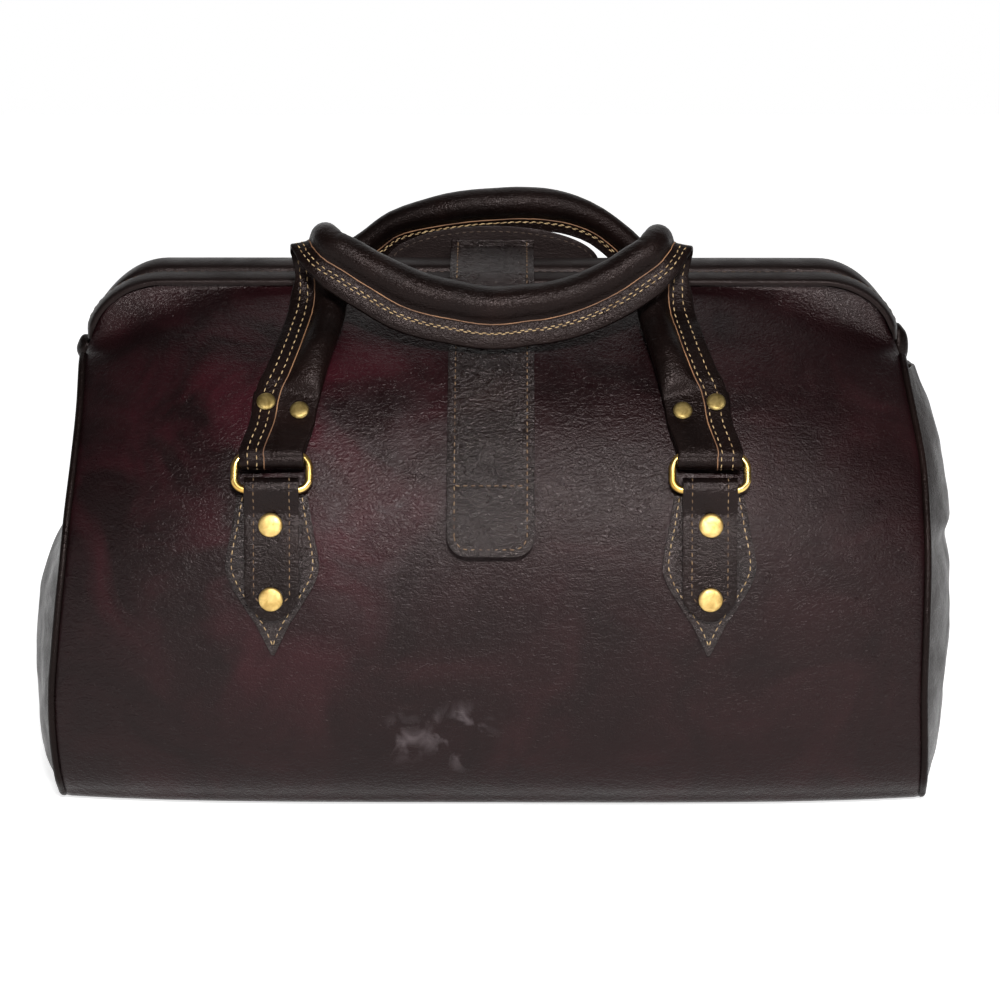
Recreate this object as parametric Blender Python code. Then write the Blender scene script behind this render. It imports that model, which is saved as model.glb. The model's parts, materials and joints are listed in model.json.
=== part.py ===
"""A leather travel bag with a steel mouth frame, modelled piece by piece.

Metres, +X to the right, -Y to the front, +Z up. The bag stands on Z = 0, centred on the origin.
"""
import math

import bmesh
import bpy
from mathutils import Matrix, Vector

# Clearances
GAP = 0.0003
LAY_GAP = 0.0005
OVERRUN = 0.004

# Body of the bag
BODY_HALF_DEPTH = 0.115
BODY_HEIGHT = 0.270
SEAM_HALF_LENGTH = 0.2195
PANEL_LEATHER = 0.0022
GUSSET_LEATHER = 0.0020
PANEL_SPANS = 12
GUSSET_SPANS = 8
BOARD_THICKNESS = 0.0025
BOARD_END_GAP = 0.0145
BOARD_HALF_LENGTH = SEAM_HALF_LENGTH - BOARD_END_GAP
BOARD_HALF_WIDTH = 0.066
# Half depth and height of the panel's outside, from the bottom seam to the mouth, as shares
# of BODY_HALF_DEPTH and BODY_HEIGHT: first at the middle of the bag, then at its end seams.
MIDDLE_SHARES = (
    (0.003, 0.000), (0.680, 0.000), (0.830, 0.030), (0.920, 0.095), (0.974, 0.222),
    (1.000, 0.389), (0.983, 0.519), (0.922, 0.630), (0.800, 0.741), (0.635, 0.833),
    (0.443, 0.907), (0.280, 0.957),
)
END_SHARES = (
    (0.003, 0.000), (0.574, 0.000), (0.713, 0.028), (0.787, 0.089), (0.826, 0.215),
    (0.822, 0.370), (0.765, 0.496), (0.643, 0.604), (0.487, 0.704), (0.350, 0.778),
    (0.236, 0.837), (0.142, 0.876),
)
END_WIDENING_POWER = 4.0
ROW_MARGIN_SHARE = 0.15
SPAN_CUTS = (1, 3, 2, 1, 1, 2, 2, 2, 2, 2, 2, 2, 1)

# Piping in the end seams
PIPING_RADIUS = 0.0022
PIPING_PROUD = 0.0010
PIPING_SIDES = 6
SEAM_TOP_ROW = 10

# Bulge of the end gussets: height and bulge as shares of BODY_HEIGHT and GUSSET_BULGE
GUSSET_BULGE = 0.030
LEFT_BULGE_SHARES = (
    (0.018, 0.40), (0.075, 0.82), (0.22, 0.93), (0.33, 0.93), (0.44, 0.72), (0.52, 0.38),
    (0.58, 0.00), (0.70, -0.46), (0.79, -0.27), (0.84, 0.00),
)
RIGHT_BULGE_SHARES = (
    (0.018, 0.40), (0.075, 0.65), (0.22, 0.87), (0.33, 1.00), (0.44, 0.95), (0.505, 0.83),
    (0.54, 0.95), (0.65, 0.84), (0.75, 0.60), (0.84, 0.26),
)
BULGE_POWER = 2.2

# Steel mouth frame and its leather sleeves: the path is a U that stands on the hinge line
FRAME_INSET = 0.0030
FRAME_HALF_LENGTH = SEAM_HALF_LENGTH - FRAME_INSET
FRAME_RISE = 0.0005
FRAME_TOP = BODY_HEIGHT + FRAME_RISE
FRAME_CORNER_WIDTH = 0.041
FRAME_CORNER_HEIGHT = 0.034
CORNER_CUTS = 6
SLEEVE_LEATHER = 0.0016
MOUTH_FACE = -0.0058
SLEEVE_DROP = 0.0095
SLEEVE_WALL_Y = 0.0188
SLEEVE_WALL_DROP = 0.0020
FRONT_CREST = 0.0042
FRONT_EDGE = 0.0010
REAR_CREST = 0.0098
REAR_EDGE = 0.0060
REAR_CREST_Y = 0.0060
SLEEVE_EDGE_Y = 0.0180
CROWN_LEFT_SHARES = (0.80, 0.30)
CROWN_FADE_POWER = 6.0
SLEEVE_SHOULDER_SHARES = (0.85, 0.75)
PANEL_TOP_DEPTH = 0.0163
PANEL_TOP_DROP = 0.0012
BAR_THICKNESS = 0.0025
FRONT_BAR_DEEP = 0.0035
FRONT_BAR_NEAR = -0.0085
FRONT_BAR_FAR = -0.0135
REAR_BAR_NEAR = 0.0010
REAR_BAR_FAR = 0.0130
EAR_RADIUS = 0.0055
EAR_SHOULDER = 0.0035
ARM_REACH = 0.0040
SLEEVE_LAST_DEGREES = 76
EAR_EXTRA = 0.0002
EAR_GAP = 0.0004
HINGE_UNDER_CORNER = 0.0045
HINGE_HEIGHT = FRAME_TOP - FRAME_CORNER_HEIGHT - HINGE_UNDER_CORNER
PIN_RADIUS = 0.0020
PIN_HEAD_RADIUS = 0.0038
PIN_HEAD = 0.0012
HINGE_COVER_RADIUS = 0.0075
HINGE_COVER_HEIGHT = 0.0105
LEFT_HINGE_COVER_RAISE = 0.0002
RIGHT_HINGE_COVER_RAISE = 0.0020
# Radius and height of the lump's outline as shares of its own
HINGE_COVER_SHARES = ((0, 0), (0.9, 0), (1.0, 0.3), (0.85, 0.7), (0.45, 0.95), (0, 1.0))

# Closure: half-moon yoke behind the mouth, strap and magnetic snap
YOKE_HALF_WIDTH = 0.058
YOKE_RISE = 0.0200
YOKE_HEM = 0.0070
YOKE_LEATHER = 0.0022
YOKE_ROWS = 7
STRAP_HALF_WIDTH = 0.0225
STRAP_LEATHER = 0.0022
STRAP_TIP_ROUND = 0.008
STRAP_HINGE_RISE = 0.0045
STRAP_HINGE_HEIGHT = FRAME_TOP + REAR_CREST + STRAP_HINGE_RISE
STRAP_SEWN_LENGTH = 0.0045
SNAP_DROP = 0.1200
SNAP_HEIGHT = BODY_HEIGHT - SNAP_DROP
STRAP_UNDER_SNAP = 0.0110
STRAP_TIP_HEIGHT = SNAP_HEIGHT - STRAP_UNDER_SNAP
SNAP_RADIUS = 0.0090
SNAP_BORE = 0.0036
SOCKET_THICKNESS = 0.0024
STUD_THICKNESS = 0.0012
STUD_RADIUS = 0.0031
STUD_REACH = 0.0017
SNAP_SEGMENTS = 12
SNAP_FADE_ROWS = 3.0
STRAP_ROUND_LIMIT_SHARE = 0.9

# Chapes, their patches, and the rings
CHAPE_X = 0.1124
CHAPE_HALF_WIDTH = 0.0140
CHAPE_LEATHER = 0.0016
CHAPE_POINT = 0.0130
CHAPE_POINT_SHARES = ((0.0, 0.14), (0.35, 0.62), (1.0, 1.0))
PATCH_LEATHER = 0.0018
PATCH_HALF_WIDTH = 0.0241
PATCH_SHARES = ((0.0, 0.03), (0.195, 0.35), (0.337, 0.66), (0.47, 0.92), (0.577, 1.0),
                (0.795, 0.87), (1.0, 0.75))
PATCH_ROW_STEP_SHARE = 0.12
RING_DROP = 0.0995
RING_HEIGHT = BODY_HEIGHT - RING_DROP
PATCH_UNDER_RING = 0.0015
PATCH_TOP = RING_HEIGHT - PATCH_UNDER_RING
PATCH_LENGTH = 0.0816
PATCH_TIP = PATCH_TOP - PATCH_LENGTH
CHAPE_REACH = 0.0643
CHAPE_LOW = RING_HEIGHT - CHAPE_REACH
RING_WIRE = 0.0020
RING_HALF_WIDTH = 0.0192
RING_RISE = 0.0185
RING_LOW_CORNER = 0.006
RING_TOP_CORNER = 0.0075
RING_SIDES = 8
RING_CORNER_CUTS = 3
RING_TOP_LIFT = 0.0080
BAR_EXTRA_LIFT = 0.0012
LOOP_PLAY = 0.00075
LOOP_RAISE = 0.0020
UPPER_RIVET_UNDER_RING = 0.0165
CHAPE_RIVET_STEP = 0.0365
UPPER_RIVET_HEIGHT = RING_HEIGHT - UPPER_RIVET_UNDER_RING
LOWER_RIVET_HEIGHT = UPPER_RIVET_HEIGHT - CHAPE_RIVET_STEP
CHAPE_RIVET_RADIUS = 0.0063
RIVET_SHANK = 0.0020
RIVET_SEGMENTS = 10
RIVET_CAP_SHARE = 0.32
RIVET_BACK_SHARES = (0.6, 0.14)
RIVET_DOME_SHARES = ((0, 1.0), (0.66, 0.76), (1.0, 0))

# Handles: a flat end folded round the ring, then a leather roll with a sewn flange
TAB_HALF_WIDTH = 0.0167
TAB_LEATHER = 0.0022
TAB_PINCH_OVER_RING = 0.0323
TAB_PINCH_HEIGHT = RING_HEIGHT + TAB_PINCH_OVER_RING
TAB_RIVET_OVER_PINCH = 0.0060
TAB_RIVET_HEIGHT = TAB_PINCH_HEIGHT + TAB_RIVET_OVER_PINCH
TAB_RIVET_SPREAD = 0.0087
TAB_RIVET_TILT_SHARE = 0.22
TAB_RIVET_RADIUS = 0.0050
TAB_RIVET_LIFT = 0.0044
TAB_BACK_OVER_RIVET = 0.0077
TAB_BACK_END = TAB_RIVET_HEIGHT + TAB_BACK_OVER_RIVET
TAB_PLAY = 0.00065
TAB_FOLD_PLAY = 0.0008
ROLL_START_OVER_RIVET = 0.0062
ROLL_START_HEIGHT = TAB_RIVET_HEIGHT + ROLL_START_OVER_RIVET
ROLL_START_LENGTH = 0.0070
ROLL_MIDDLE_HEIGHT = ROLL_START_HEIGHT + ROLL_START_LENGTH
ROLL_MIDDLE_FLAT_SHARE = 0.45
HANDLE_ROLL = 0.0082
HANDLE_FLANGE = 0.0135
HANDLE_FLANGE_THICKNESS = 0.0034
ARC_START_DEGREES = 28
ARC_CUTS = 7
TAB_FOLD_CUTS = 5
LEG_X_SHARES = (1.0, 0.957, 0.905, 0.872)
LEG_DROP = 0.0355
LEG_HEIGHT = BODY_HEIGHT - LEG_DROP
LEG_STEP = 0.0135
FRONT_LEG_LIFT = 0.0088
FRONT_LEG_TOP_LIFT = 0.0095
REAR_LEG_LIFT = 0.0100
REAR_LEG_TOP_LIFT = 0.0115
# The grips above the legs: X, Y and Z of the section's centre as shares of CHAPE_X,
# BODY_HALF_DEPTH and BODY_HEIGHT, then the direction of the flange.
FRONT_GRIP_SHARES = (
    ((0.856, -0.365, 1.000), (1.00, 0.00, 0.00)),
    ((0.845, -0.348, 1.048), (1.00, 0.00, -0.12)),
    ((0.840, -0.409, 1.089), (0.95, 0.00, -0.30)),
    ((0.790, -0.504, 1.073), (0.84, -0.15, -0.52)),
    ((0.676, -0.535, 1.049), (0.68, -0.28, -0.68)),
    ((0.570, -0.548, 1.024), (0.50, -0.33, -0.80)),
    ((0.388, -0.557, 0.989), (0.34, -0.34, -0.88)),
    ((0.196, -0.564, 0.964), (0.18, -0.35, -0.92)),
    ((0.000, -0.566, 0.947), (0.00, -0.35, -0.94)),
)
REAR_GRIP_SHARES = (
    ((0.805, 0.470, 0.985), (-0.96, 0.00, -0.28)),
    ((0.712, 0.440, 1.018), (-0.80, 0.05, -0.60)),
    ((0.583, 0.418, 1.049), (-0.58, 0.10, -0.81)),
    ((0.405, 0.400, 1.080), (-0.35, 0.10, -0.93)),
    ((0.205, 0.386, 1.102), (-0.15, 0.10, -0.98)),
    ((0.000, 0.378, 1.110), (0.00, 0.10, -1.00)),
)

# Colours
LEATHER = (0.030, 0.012, 0.011, 1.0)
DARK_LEATHER = (0.018, 0.012, 0.010, 1.0)
STEEL = (0.35, 0.35, 0.36, 1.0)
BRASS = (0.72, 0.50, 0.16, 1.0)
OLD_BRASS = (0.45, 0.33, 0.12, 1.0)
BOARD = (0.25, 0.19, 0.12, 1.0)


# Scene, materials and objects
def clear_scene():
    for old in list(bpy.data.objects):
        bpy.data.objects.remove(old, do_unlink=True)


def material(name, colour, roughness, metallic=0.0):
    made = bpy.data.materials.new(name)
    made.use_nodes = True
    shader = made.node_tree.nodes["Principled BSDF"]
    shader.inputs["Base Color"].default_value = colour
    shader.inputs["Roughness"].default_value = roughness
    shader.inputs["Metallic"].default_value = metallic
    made.diffuse_color = colour
    return made


def add_object(name, bm, finish, sharp=40):
    """Puts a bmesh in the scene as one named object with one material."""
    bmesh.ops.remove_doubles(bm, verts=bm.verts, dist=1e-7)
    bmesh.ops.recalc_face_normals(bm, faces=bm.faces)
    mesh = bpy.data.meshes.new(name)
    bm.to_mesh(mesh)
    bm.free()
    mesh.shade_smooth()
    mesh.set_sharp_from_angle(angle=math.radians(sharp))
    mesh.materials.append(material(name, *finish))
    made = bpy.data.objects.new(name, mesh)
    bpy.context.scene.collection.objects.link(made)
    return made


def pivot(name, place):
    """An empty on a joint's axis, which carries what turns there."""
    made = bpy.data.objects.new(name, None)
    made.location = place
    bpy.context.scene.collection.objects.link(made)
    bpy.context.view_layer.update()
    return made


def carry(pieces, holder):
    for piece in pieces:
        piece.parent = holder
        piece.matrix_parent_inverse = holder.matrix_world.inverted()


def boolean(piece, tool, operation="DIFFERENCE"):
    tool.hide_render = True
    tool.display_type = "WIRE"
    cut = piece.modifiers.new(tool.name, "BOOLEAN")
    cut.operation = operation
    cut.solver = "EXACT"
    cut.object = tool


# Shapes
def smooth_curve(points, cuts):
    """A Catmull-Rom curve through the points, with the given number of cuts in each span."""
    points = [Vector(p) for p in points]
    ends = [2 * points[0] - points[1]] + points + [2 * points[-1] - points[-2]]
    curve = []
    for k in range(len(points) - 1):
        a, b, c, d = ends[k:k + 4]
        for i in range(cuts[k]):
            t = i / cuts[k]
            curve.append(0.5 * (2 * b + (c - a) * t + (2 * a - 5 * b + 4 * c - d) * t ** 2
                                + (3 * b - a - 3 * c + d) * t ** 3))
    curve.append(points[-1])
    return curve


def grid_normals(grid):
    """The unit normal at every point of a grid, from its neighbours along both ways."""
    last_row, last_column = len(grid) - 1, len(grid[0]) - 1
    normals = []
    for r, row in enumerate(grid):
        line = []
        for c in range(len(row)):
            along = grid[min(r + 1, last_row)][c] - grid[max(r - 1, 0)][c]
            across = row[min(c + 1, last_column)] - row[max(c - 1, 0)]
            line.append(across.cross(along).normalized())
        normals.append(line)
    return normals


def sheet(name, grid, thickness, finish):
    """A leather sheet of even thickness about a grid of points."""
    normals = grid_normals(grid)
    bm = bmesh.new()
    faces = []
    for sign in (-1, 1):
        layer = [[bm.verts.new(p + n * sign * thickness / 2) for p, n in zip(points, ns)]
                 for points, ns in zip(grid, normals)]
        for low, high in zip(layer, layer[1:]):
            for k in range(len(low) - 1):
                faces.append(bm.faces.new((low[k], low[k + 1], high[k + 1], high[k])))
        rim = layer[0] + [row[-1] for row in layer[1:]] + layer[-1][-2::-1]
        rim += [row[0] for row in layer[-2:0:-1]]
        if sign < 0:
            inner_rim = rim
    count = len(rim)
    for k in range(count):
        bm.faces.new((inner_rim[k], inner_rim[(k + 1) % count], rim[(k + 1) % count], rim[k]))
    return add_object(name, bm, finish)


def loft_into(bm, rings):
    """Joins rings of equal count into one closed tube."""
    made = [[bm.verts.new(p) for p in ring] for ring in rings]
    count = len(made[0])
    for low, high in zip(made, made[1:]):
        for k in range(count):
            bm.faces.new((low[k], low[(k + 1) % count], high[(k + 1) % count], high[k]))
    bm.faces.new(made[0])
    bm.faces.new(made[-1])


def loft(name, rings, finish, sharp=40):
    bm = bmesh.new()
    loft_into(bm, rings)
    return add_object(name, bm, finish, sharp)


def circle(centre, across, up, radius, sides):
    turns = [2 * math.pi * (k + 0.5) / sides for k in range(sides)]
    return [centre + across * radius * math.cos(a) + up * radius * math.sin(a) for a in turns]


def turned_into(bm, profile, place, segments):
    """Revolves a profile of radius and height about the Z axis of the place matrix."""
    known = set(bm.verts)
    verts = [bm.verts.new(Vector((radius, 0.0, height))) for radius, height in profile]
    edges = [bm.edges.new(pair) for pair in zip(verts, verts[1:])]
    bmesh.ops.spin(bm, geom=verts + edges, axis=(0, 0, 1), cent=(0, 0, 0), angle=2 * math.pi,
                   steps=segments, use_merge=True)
    fresh = [vert for vert in bm.verts if vert not in known]
    bmesh.ops.remove_doubles(bm, verts=fresh, dist=1e-7)
    fresh = [vert for vert in bm.verts if vert not in known]
    bmesh.ops.transform(bm, matrix=place, verts=fresh)


def upright(place, normal):
    """A matrix that sets a turned piece at a place with its Z axis along the normal."""
    turn = Vector((0, 0, 1)).rotation_difference(normal).to_matrix().to_4x4()
    return Matrix.Translation(place) @ turn


def cylinder_into(bm, start, end, radius, segments):
    length = (end - start).length
    profile = ((0, 0), (radius, 0), (radius, length), (0, length))
    turned_into(bm, profile, upright(start, (end - start).normalized()), segments)


# The outside of the bag: a row is a place along the profile, from the bottom seam to the mouth
def frame_corner(turn, inset):
    """X and Z on the frame's corner, from the top at turn 0 to the arm at a right angle."""
    wide, high = FRAME_CORNER_WIDTH, FRAME_CORNER_HEIGHT
    return (FRAME_HALF_LENGTH - wide + (wide - inset) * math.sin(turn),
            FRAME_TOP - high + (high - inset) * math.cos(turn))


def corner_outward(turn):
    return Vector((math.sin(turn) / FRAME_CORNER_WIDTH, 0.0,
                   math.cos(turn) / FRAME_CORNER_HEIGHT)).normalized()


def panel_profiles():
    """Control points of the outside at the middle and at the ends: X, half depth and height."""
    edge = SEAM_HALF_LENGTH - PIPING_RADIUS - GAP
    middle = [(0.0, d * BODY_HALF_DEPTH, h * BODY_HEIGHT) for d, h in MIDDLE_SHARES]
    ends = [(edge, d * BODY_HALF_DEPTH, h * BODY_HEIGHT) for d, h in END_SHARES]
    arm_x, arm_z = frame_corner(math.pi / 2, PANEL_TOP_DROP)
    ends[-1] = (arm_x, ends[-1][1], arm_z)
    top = FRAME_TOP - PANEL_TOP_DROP
    neck = PANEL_TOP_DEPTH + PANEL_TOP_DROP
    for depth, drop, turn in ((neck, 2 * PANEL_TOP_DROP, math.pi / 4), (PANEL_TOP_DEPTH, 0, 0)):
        middle.append((0.0, depth, top - drop))
        x, z = frame_corner(turn, PANEL_TOP_DROP)
        ends.append((x, PANEL_TOP_DEPTH, z))
    return middle, ends


MIDDLE, ENDS = panel_profiles()
MIDDLE_CURVE = smooth_curve(MIDDLE, SPAN_CUTS)
END_CURVE = smooth_curve(ENDS, SPAN_CUTS)
LAST_ROW = len(MIDDLE_CURVE) - 1


def lerp(a, b, share):
    return a + (b - a) * share


def row_normal(curve, k):
    low, high = curve[max(k - 1, 0)], curve[min(k + 1, LAST_ROW)]
    return Vector((0.0, high.z - low.z, low.y - high.y)).normalized()


def on_row(x, k, lift):
    """A point of the outside at X on row k, raised by lift; the depth is positive here."""
    widening = min(1.0, abs(x) / END_CURVE[k].x) ** END_WIDENING_POWER
    base = lerp(MIDDLE_CURVE[k], END_CURVE[k], widening)
    normal = lerp(row_normal(MIDDLE_CURVE, k), row_normal(END_CURVE, k), widening).normalized()
    return Vector((x, base.y, base.z)) + normal * lift, normal


def outside(side, x, row, lift=0.0):
    """A point of the front (side -1) or rear (side 1) outside, and its normal."""
    k = min(int(row), LAST_ROW - 1)
    low, low_normal = on_row(x, k, lift)
    high, high_normal = on_row(x, k + 1, lift)
    point = lerp(low, high, row - k)
    normal = lerp(low_normal, high_normal, row - k).normalized()
    return Vector((x, side * point.y, point.z)), Vector((0.0, side * normal.y, normal.z))


def true_normal(side, x, row, step):
    """The normal with the panel's slope along X as well."""
    along = outside(side, x + step, row)[0] - outside(side, x - step, row)[0]
    flat = outside(side, x, row)[1]
    return (flat - along.normalized() * flat.dot(along.normalized())).normalized()


def row_at(x, height):
    """The row at which the outside has that height."""
    low, high = 2.0, float(LAST_ROW)
    for _ in range(40):
        middle = (low + high) / 2
        if outside(1, x, middle)[0].z < height:
            low = middle
        else:
            high = middle
    return (low + high) / 2


def rows_between(first, last):
    """Both ends and every row of the panel between them."""
    inner = [k for k in range(LAST_ROW + 1)
             if first + ROW_MARGIN_SHARE < k < last - ROW_MARGIN_SHARE]
    return [first] + inner + [last]


def end_depth(height, inset):
    """Half depth of the end seam at a height, drawn in by the inset along the seam's normal."""
    for k in range(1, LAST_ROW):
        low, high = END_CURVE[k], END_CURVE[k + 1]
        if low.z <= height <= high.z:
            normal = Vector((0.0, high.z - low.z, low.y - high.y)).normalized()
            return lerp(low.y, high.y, (height - low.z) / (high.z - low.z)) - inset / normal.y
    return END_CURVE[-1].y - inset


# Body
def build_panel(name, side, finish):
    grid = []
    for k in range(LAST_ROW + 1):
        half = END_CURVE[k].x
        xs = [half * (2 * c / PANEL_SPANS - 1) for c in range(PANEL_SPANS + 1)]
        grid.append([outside(side, x, k, -PANEL_LEATHER / 2)[0] for x in xs])
    return sheet(name, grid, PANEL_LEATHER, finish)


def seam_point(side, end, row):
    """Centre of the piping on a row: flush at the floor, and proud of the leather above it."""
    rise = min(1.0, END_CURVE[row].z / (5 * PIPING_RADIUS))
    sunk = PIPING_RADIUS - PIPING_PROUD * rise
    normal = row_normal(END_CURVE, row)
    point = END_CURVE[row] - normal * sunk
    return Vector((end * SEAM_HALF_LENGTH, side * point.y, max(point.z, PIPING_RADIUS)))


def build_piping(name, side, end, finish):
    last = sum(SPAN_CUTS[:SEAM_TOP_ROW])
    path = [seam_point(side, end, k) for k in range(last + 1)]
    path[0].y = side * GAP
    rings = []
    for k, point in enumerate(path):
        tangent = (path[min(k + 1, last)] - path[max(k - 1, 0)]).normalized()
        across = Vector((1.0, 0.0, 0.0))
        up = tangent.cross(across)
        rings.append(circle(point, across, up, PIPING_RADIUS, PIPING_SIDES))
    return loft(name, rings, finish)


def from_table(table, key):
    """The second value of a table at a key, straight between its rows."""
    for (low, a), (high, b) in zip(table, table[1:]):
        if key <= high:
            return lerp(a, b, max(0.0, (key - low) / (high - low)))
    return table[-1][1]


def build_gusset(name, end, shares, finish):
    low = 2 * PIPING_RADIUS + GAP + GUSSET_LEATHER / 2
    high = END_SHARES[SEAM_TOP_ROW][1] * BODY_HEIGHT - GUSSET_LEATHER
    heights = [low] + [share * BODY_HEIGHT for share, _ in shares[1:-1]] + [high]
    grid = []
    for height in heights:
        half = end_depth(height, 2 * (PIPING_RADIUS + GAP))
        bulge = GUSSET_BULGE * from_table(shares, height / BODY_HEIGHT)
        line = []
        for c in range(GUSSET_SPANS + 1):
            v = 2 * c / GUSSET_SPANS - 1
            x = SEAM_HALF_LENGTH + bulge * (1 - abs(v) ** BULGE_POWER)
            line.append(Vector((end * x, v * half, height)))
        grid.append(line)
    return sheet(name, grid, GUSSET_LEATHER, finish)


def build_board(finish):
    bm = bmesh.new()
    bmesh.ops.create_cube(bm, size=1.0)
    size = (2 * BOARD_HALF_LENGTH, 2 * BOARD_HALF_WIDTH, BOARD_THICKNESS)
    bmesh.ops.scale(bm, vec=size, verts=bm.verts)
    rise = PANEL_LEATHER + GAP + BOARD_THICKNESS / 2
    bmesh.ops.translate(bm, vec=(0.0, 0.0, rise), verts=bm.verts)
    return add_object("base_board", bm, finish)


# Mouth frame
def frame_path(last_turn, inset=0.0):
    """Places and outward directions along the U, from the left end over the top to the right."""
    right = []
    for k in range(CORNER_CUTS + 1):
        turn = last_turn * k / CORNER_CUTS
        x, z = frame_corner(turn, inset)
        right.append((Vector((x, 0.0, z)), corner_outward(turn)))
    mirror = Vector((-1.0, 1.0, 1.0))
    left = [(p * mirror, n * mirror) for p, n in reversed(right)]
    top = (Vector((0.0, 0.0, FRAME_TOP - inset)), Vector((0.0, 0.0, 1.0)))
    return left + [top] + right


def crown_share(outward, left):
    """How much of the sleeve's crown is left where the path faces outward."""
    return lerp(left, 1.0, max(0.0, outward.z) ** CROWN_FADE_POWER)


def sleeve_ring(point, outward, side):
    """The sleeve's section: over the bar from the wall on the panel to the mouth face."""
    steep, soft = SLEEVE_SHOULDER_SHARES
    if side < 0:
        crown = crown_share(outward, CROWN_LEFT_SHARES[0])
        mouth_y = MOUTH_FACE - GAP
        outer = [(-SLEEVE_WALL_DROP, -SLEEVE_WALL_Y), (FRONT_EDGE * crown, -SLEEVE_EDGE_Y),
                 (FRONT_CREST * steep * crown, (mouth_y - SLEEVE_EDGE_Y) / 2),
                 (FRONT_CREST * crown, mouth_y - SLEEVE_LEATHER),
                 (FRONT_CREST * soft * crown, mouth_y), (-SLEEVE_DROP, mouth_y)]
        toward = 1
    else:
        crown = crown_share(outward, CROWN_LEFT_SHARES[1])
        mouth_y = MOUTH_FACE + GAP
        outer = [(-SLEEVE_WALL_DROP, SLEEVE_WALL_Y), (REAR_EDGE * crown, SLEEVE_EDGE_Y),
                 (REAR_CREST * crown, (REAR_CREST_Y + SLEEVE_EDGE_Y) / 2),
                 (REAR_CREST * crown, REAR_CREST_Y),
                 (REAR_CREST * soft * crown, mouth_y + SLEEVE_LEATHER),
                 (REAR_EDGE * soft * crown, mouth_y), (-SLEEVE_DROP, mouth_y)]
        toward = -1
    inner = []
    for k, (n, y) in enumerate(outer):
        before, after = outer[max(k - 1, 0)], outer[min(k + 1, len(outer) - 1)]
        run = Vector((after[0] - before[0], after[1] - before[1])).normalized()
        inner.append((n + run.y * -toward * SLEEVE_LEATHER, y + run.x * toward * SLEEVE_LEATHER))
    section = outer + inner[::-1]
    return [point + outward * n + Vector((0.0, y, 0.0)) for n, y in section]


def build_sleeve(name, side, finish):
    path = frame_path(math.radians(SLEEVE_LAST_DEGREES))
    return loft(name, [sleeve_ring(p, n, side) for p, n in path], finish)


def build_bar(name, deep, span, finish):
    """A strip bent into a U, with an ear for the pivot pin at each end."""
    outer, inner = -deep, -deep - BAR_THICKNESS
    section = ((outer, span[0]), (inner, span[0]), (inner, span[1]), (outer, span[1]))
    path = frame_path(math.pi / 2)
    foot = Vector((0.0, 0.0, -ARM_REACH))
    path = [(path[0][0] + foot, path[0][1])] + path + [(path[-1][0] + foot, path[-1][1])]
    rings = [[p + n * depth + Vector((0.0, y, 0.0)) for depth, y in section] for p, n in path]
    bar = loft(name, rings, finish)
    arm_x = FRAME_HALF_LENGTH - deep - BAR_THICKNESS / 2
    shoulder_z = FRAME_TOP - FRAME_CORNER_HEIGHT + EAR_SHOULDER
    near = span[0] if abs(span[0]) < abs(span[1]) else span[1]
    far = near + math.copysign(min(EAR_RADIUS, abs(span[1] - span[0])), near)
    for end in (-1, 1):
        bm = bmesh.new()
        half = BAR_THICKNESS / 2 + EAR_EXTRA
        for x in (end * arm_x - half, end * arm_x + half):
            ear = circle(Vector((x, 0.0, HINGE_HEIGHT)), Vector((0, 1, 0)), Vector((0, 0, 1)),
                         EAR_RADIUS, RIVET_SEGMENTS)
            top = [Vector((x, y, shoulder_z)) for y in (near, far)]
            for point in ear + top:
                bm.verts.new(point)
        bmesh.ops.convex_hull(bm, input=bm.verts)
        boolean(bar, add_object(name + "_ear_guide", bm, finish), "UNION")
    bm = bmesh.new()
    for end in (-1, 1):
        start = Vector((end * (arm_x - OVERRUN), 0.0, HINGE_HEIGHT))
        stop = Vector((end * (arm_x + OVERRUN), 0.0, HINGE_HEIGHT))
        cylinder_into(bm, start, stop, PIN_RADIUS + GAP, RIVET_SEGMENTS)
    boolean(bar, add_object(name + "_hole_guide", bm, finish))
    return bar


def front_bar_x():
    return FRAME_HALF_LENGTH - FRONT_BAR_DEEP


def rear_bar_deep():
    return FRONT_BAR_DEEP + BAR_THICKNESS + 2 * EAR_EXTRA + EAR_GAP


def pin_reach():
    """Inner and outer ends of the pin's shank between its heads."""
    inner = FRAME_HALF_LENGTH - rear_bar_deep() - BAR_THICKNESS - EAR_EXTRA - GAP
    return inner, front_bar_x() + EAR_EXTRA + GAP


def build_pin(name, end, finish):
    inner, outer = pin_reach()
    profile = ((0, -PIN_HEAD), (PIN_HEAD_RADIUS, -PIN_HEAD), (PIN_HEAD_RADIUS, 0), (PIN_RADIUS, 0),
               (PIN_RADIUS, outer - inner), (PIN_HEAD_RADIUS, outer - inner),
               (PIN_HEAD_RADIUS, outer - inner + PIN_HEAD), (0, outer - inner + PIN_HEAD))
    bm = bmesh.new()
    place = upright(Vector((end * inner, 0.0, HINGE_HEIGHT)), Vector((end, 0.0, 0.0)))
    turned_into(bm, profile, place, RIVET_SEGMENTS)
    return add_object(name, bm, finish)


def build_hinge_cover(name, end, raise_by, finish):
    start = pin_reach()[1] + PIN_HEAD + GAP
    profile = [(r * HINGE_COVER_RADIUS, h * HINGE_COVER_HEIGHT) for r, h in HINGE_COVER_SHARES]
    bm = bmesh.new()
    place = Vector((end * start, 0.0, HINGE_HEIGHT + raise_by))
    turned_into(bm, profile, upright(place, Vector((end, 0.0, 0.0))), RIVET_SEGMENTS)
    return add_object(name, bm, finish)


# Closure
def yoke_y():
    return SLEEVE_WALL_Y + GAP + YOKE_LEATHER / 2


def yoke_base():
    return FRAME_TOP + REAR_EDGE


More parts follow.
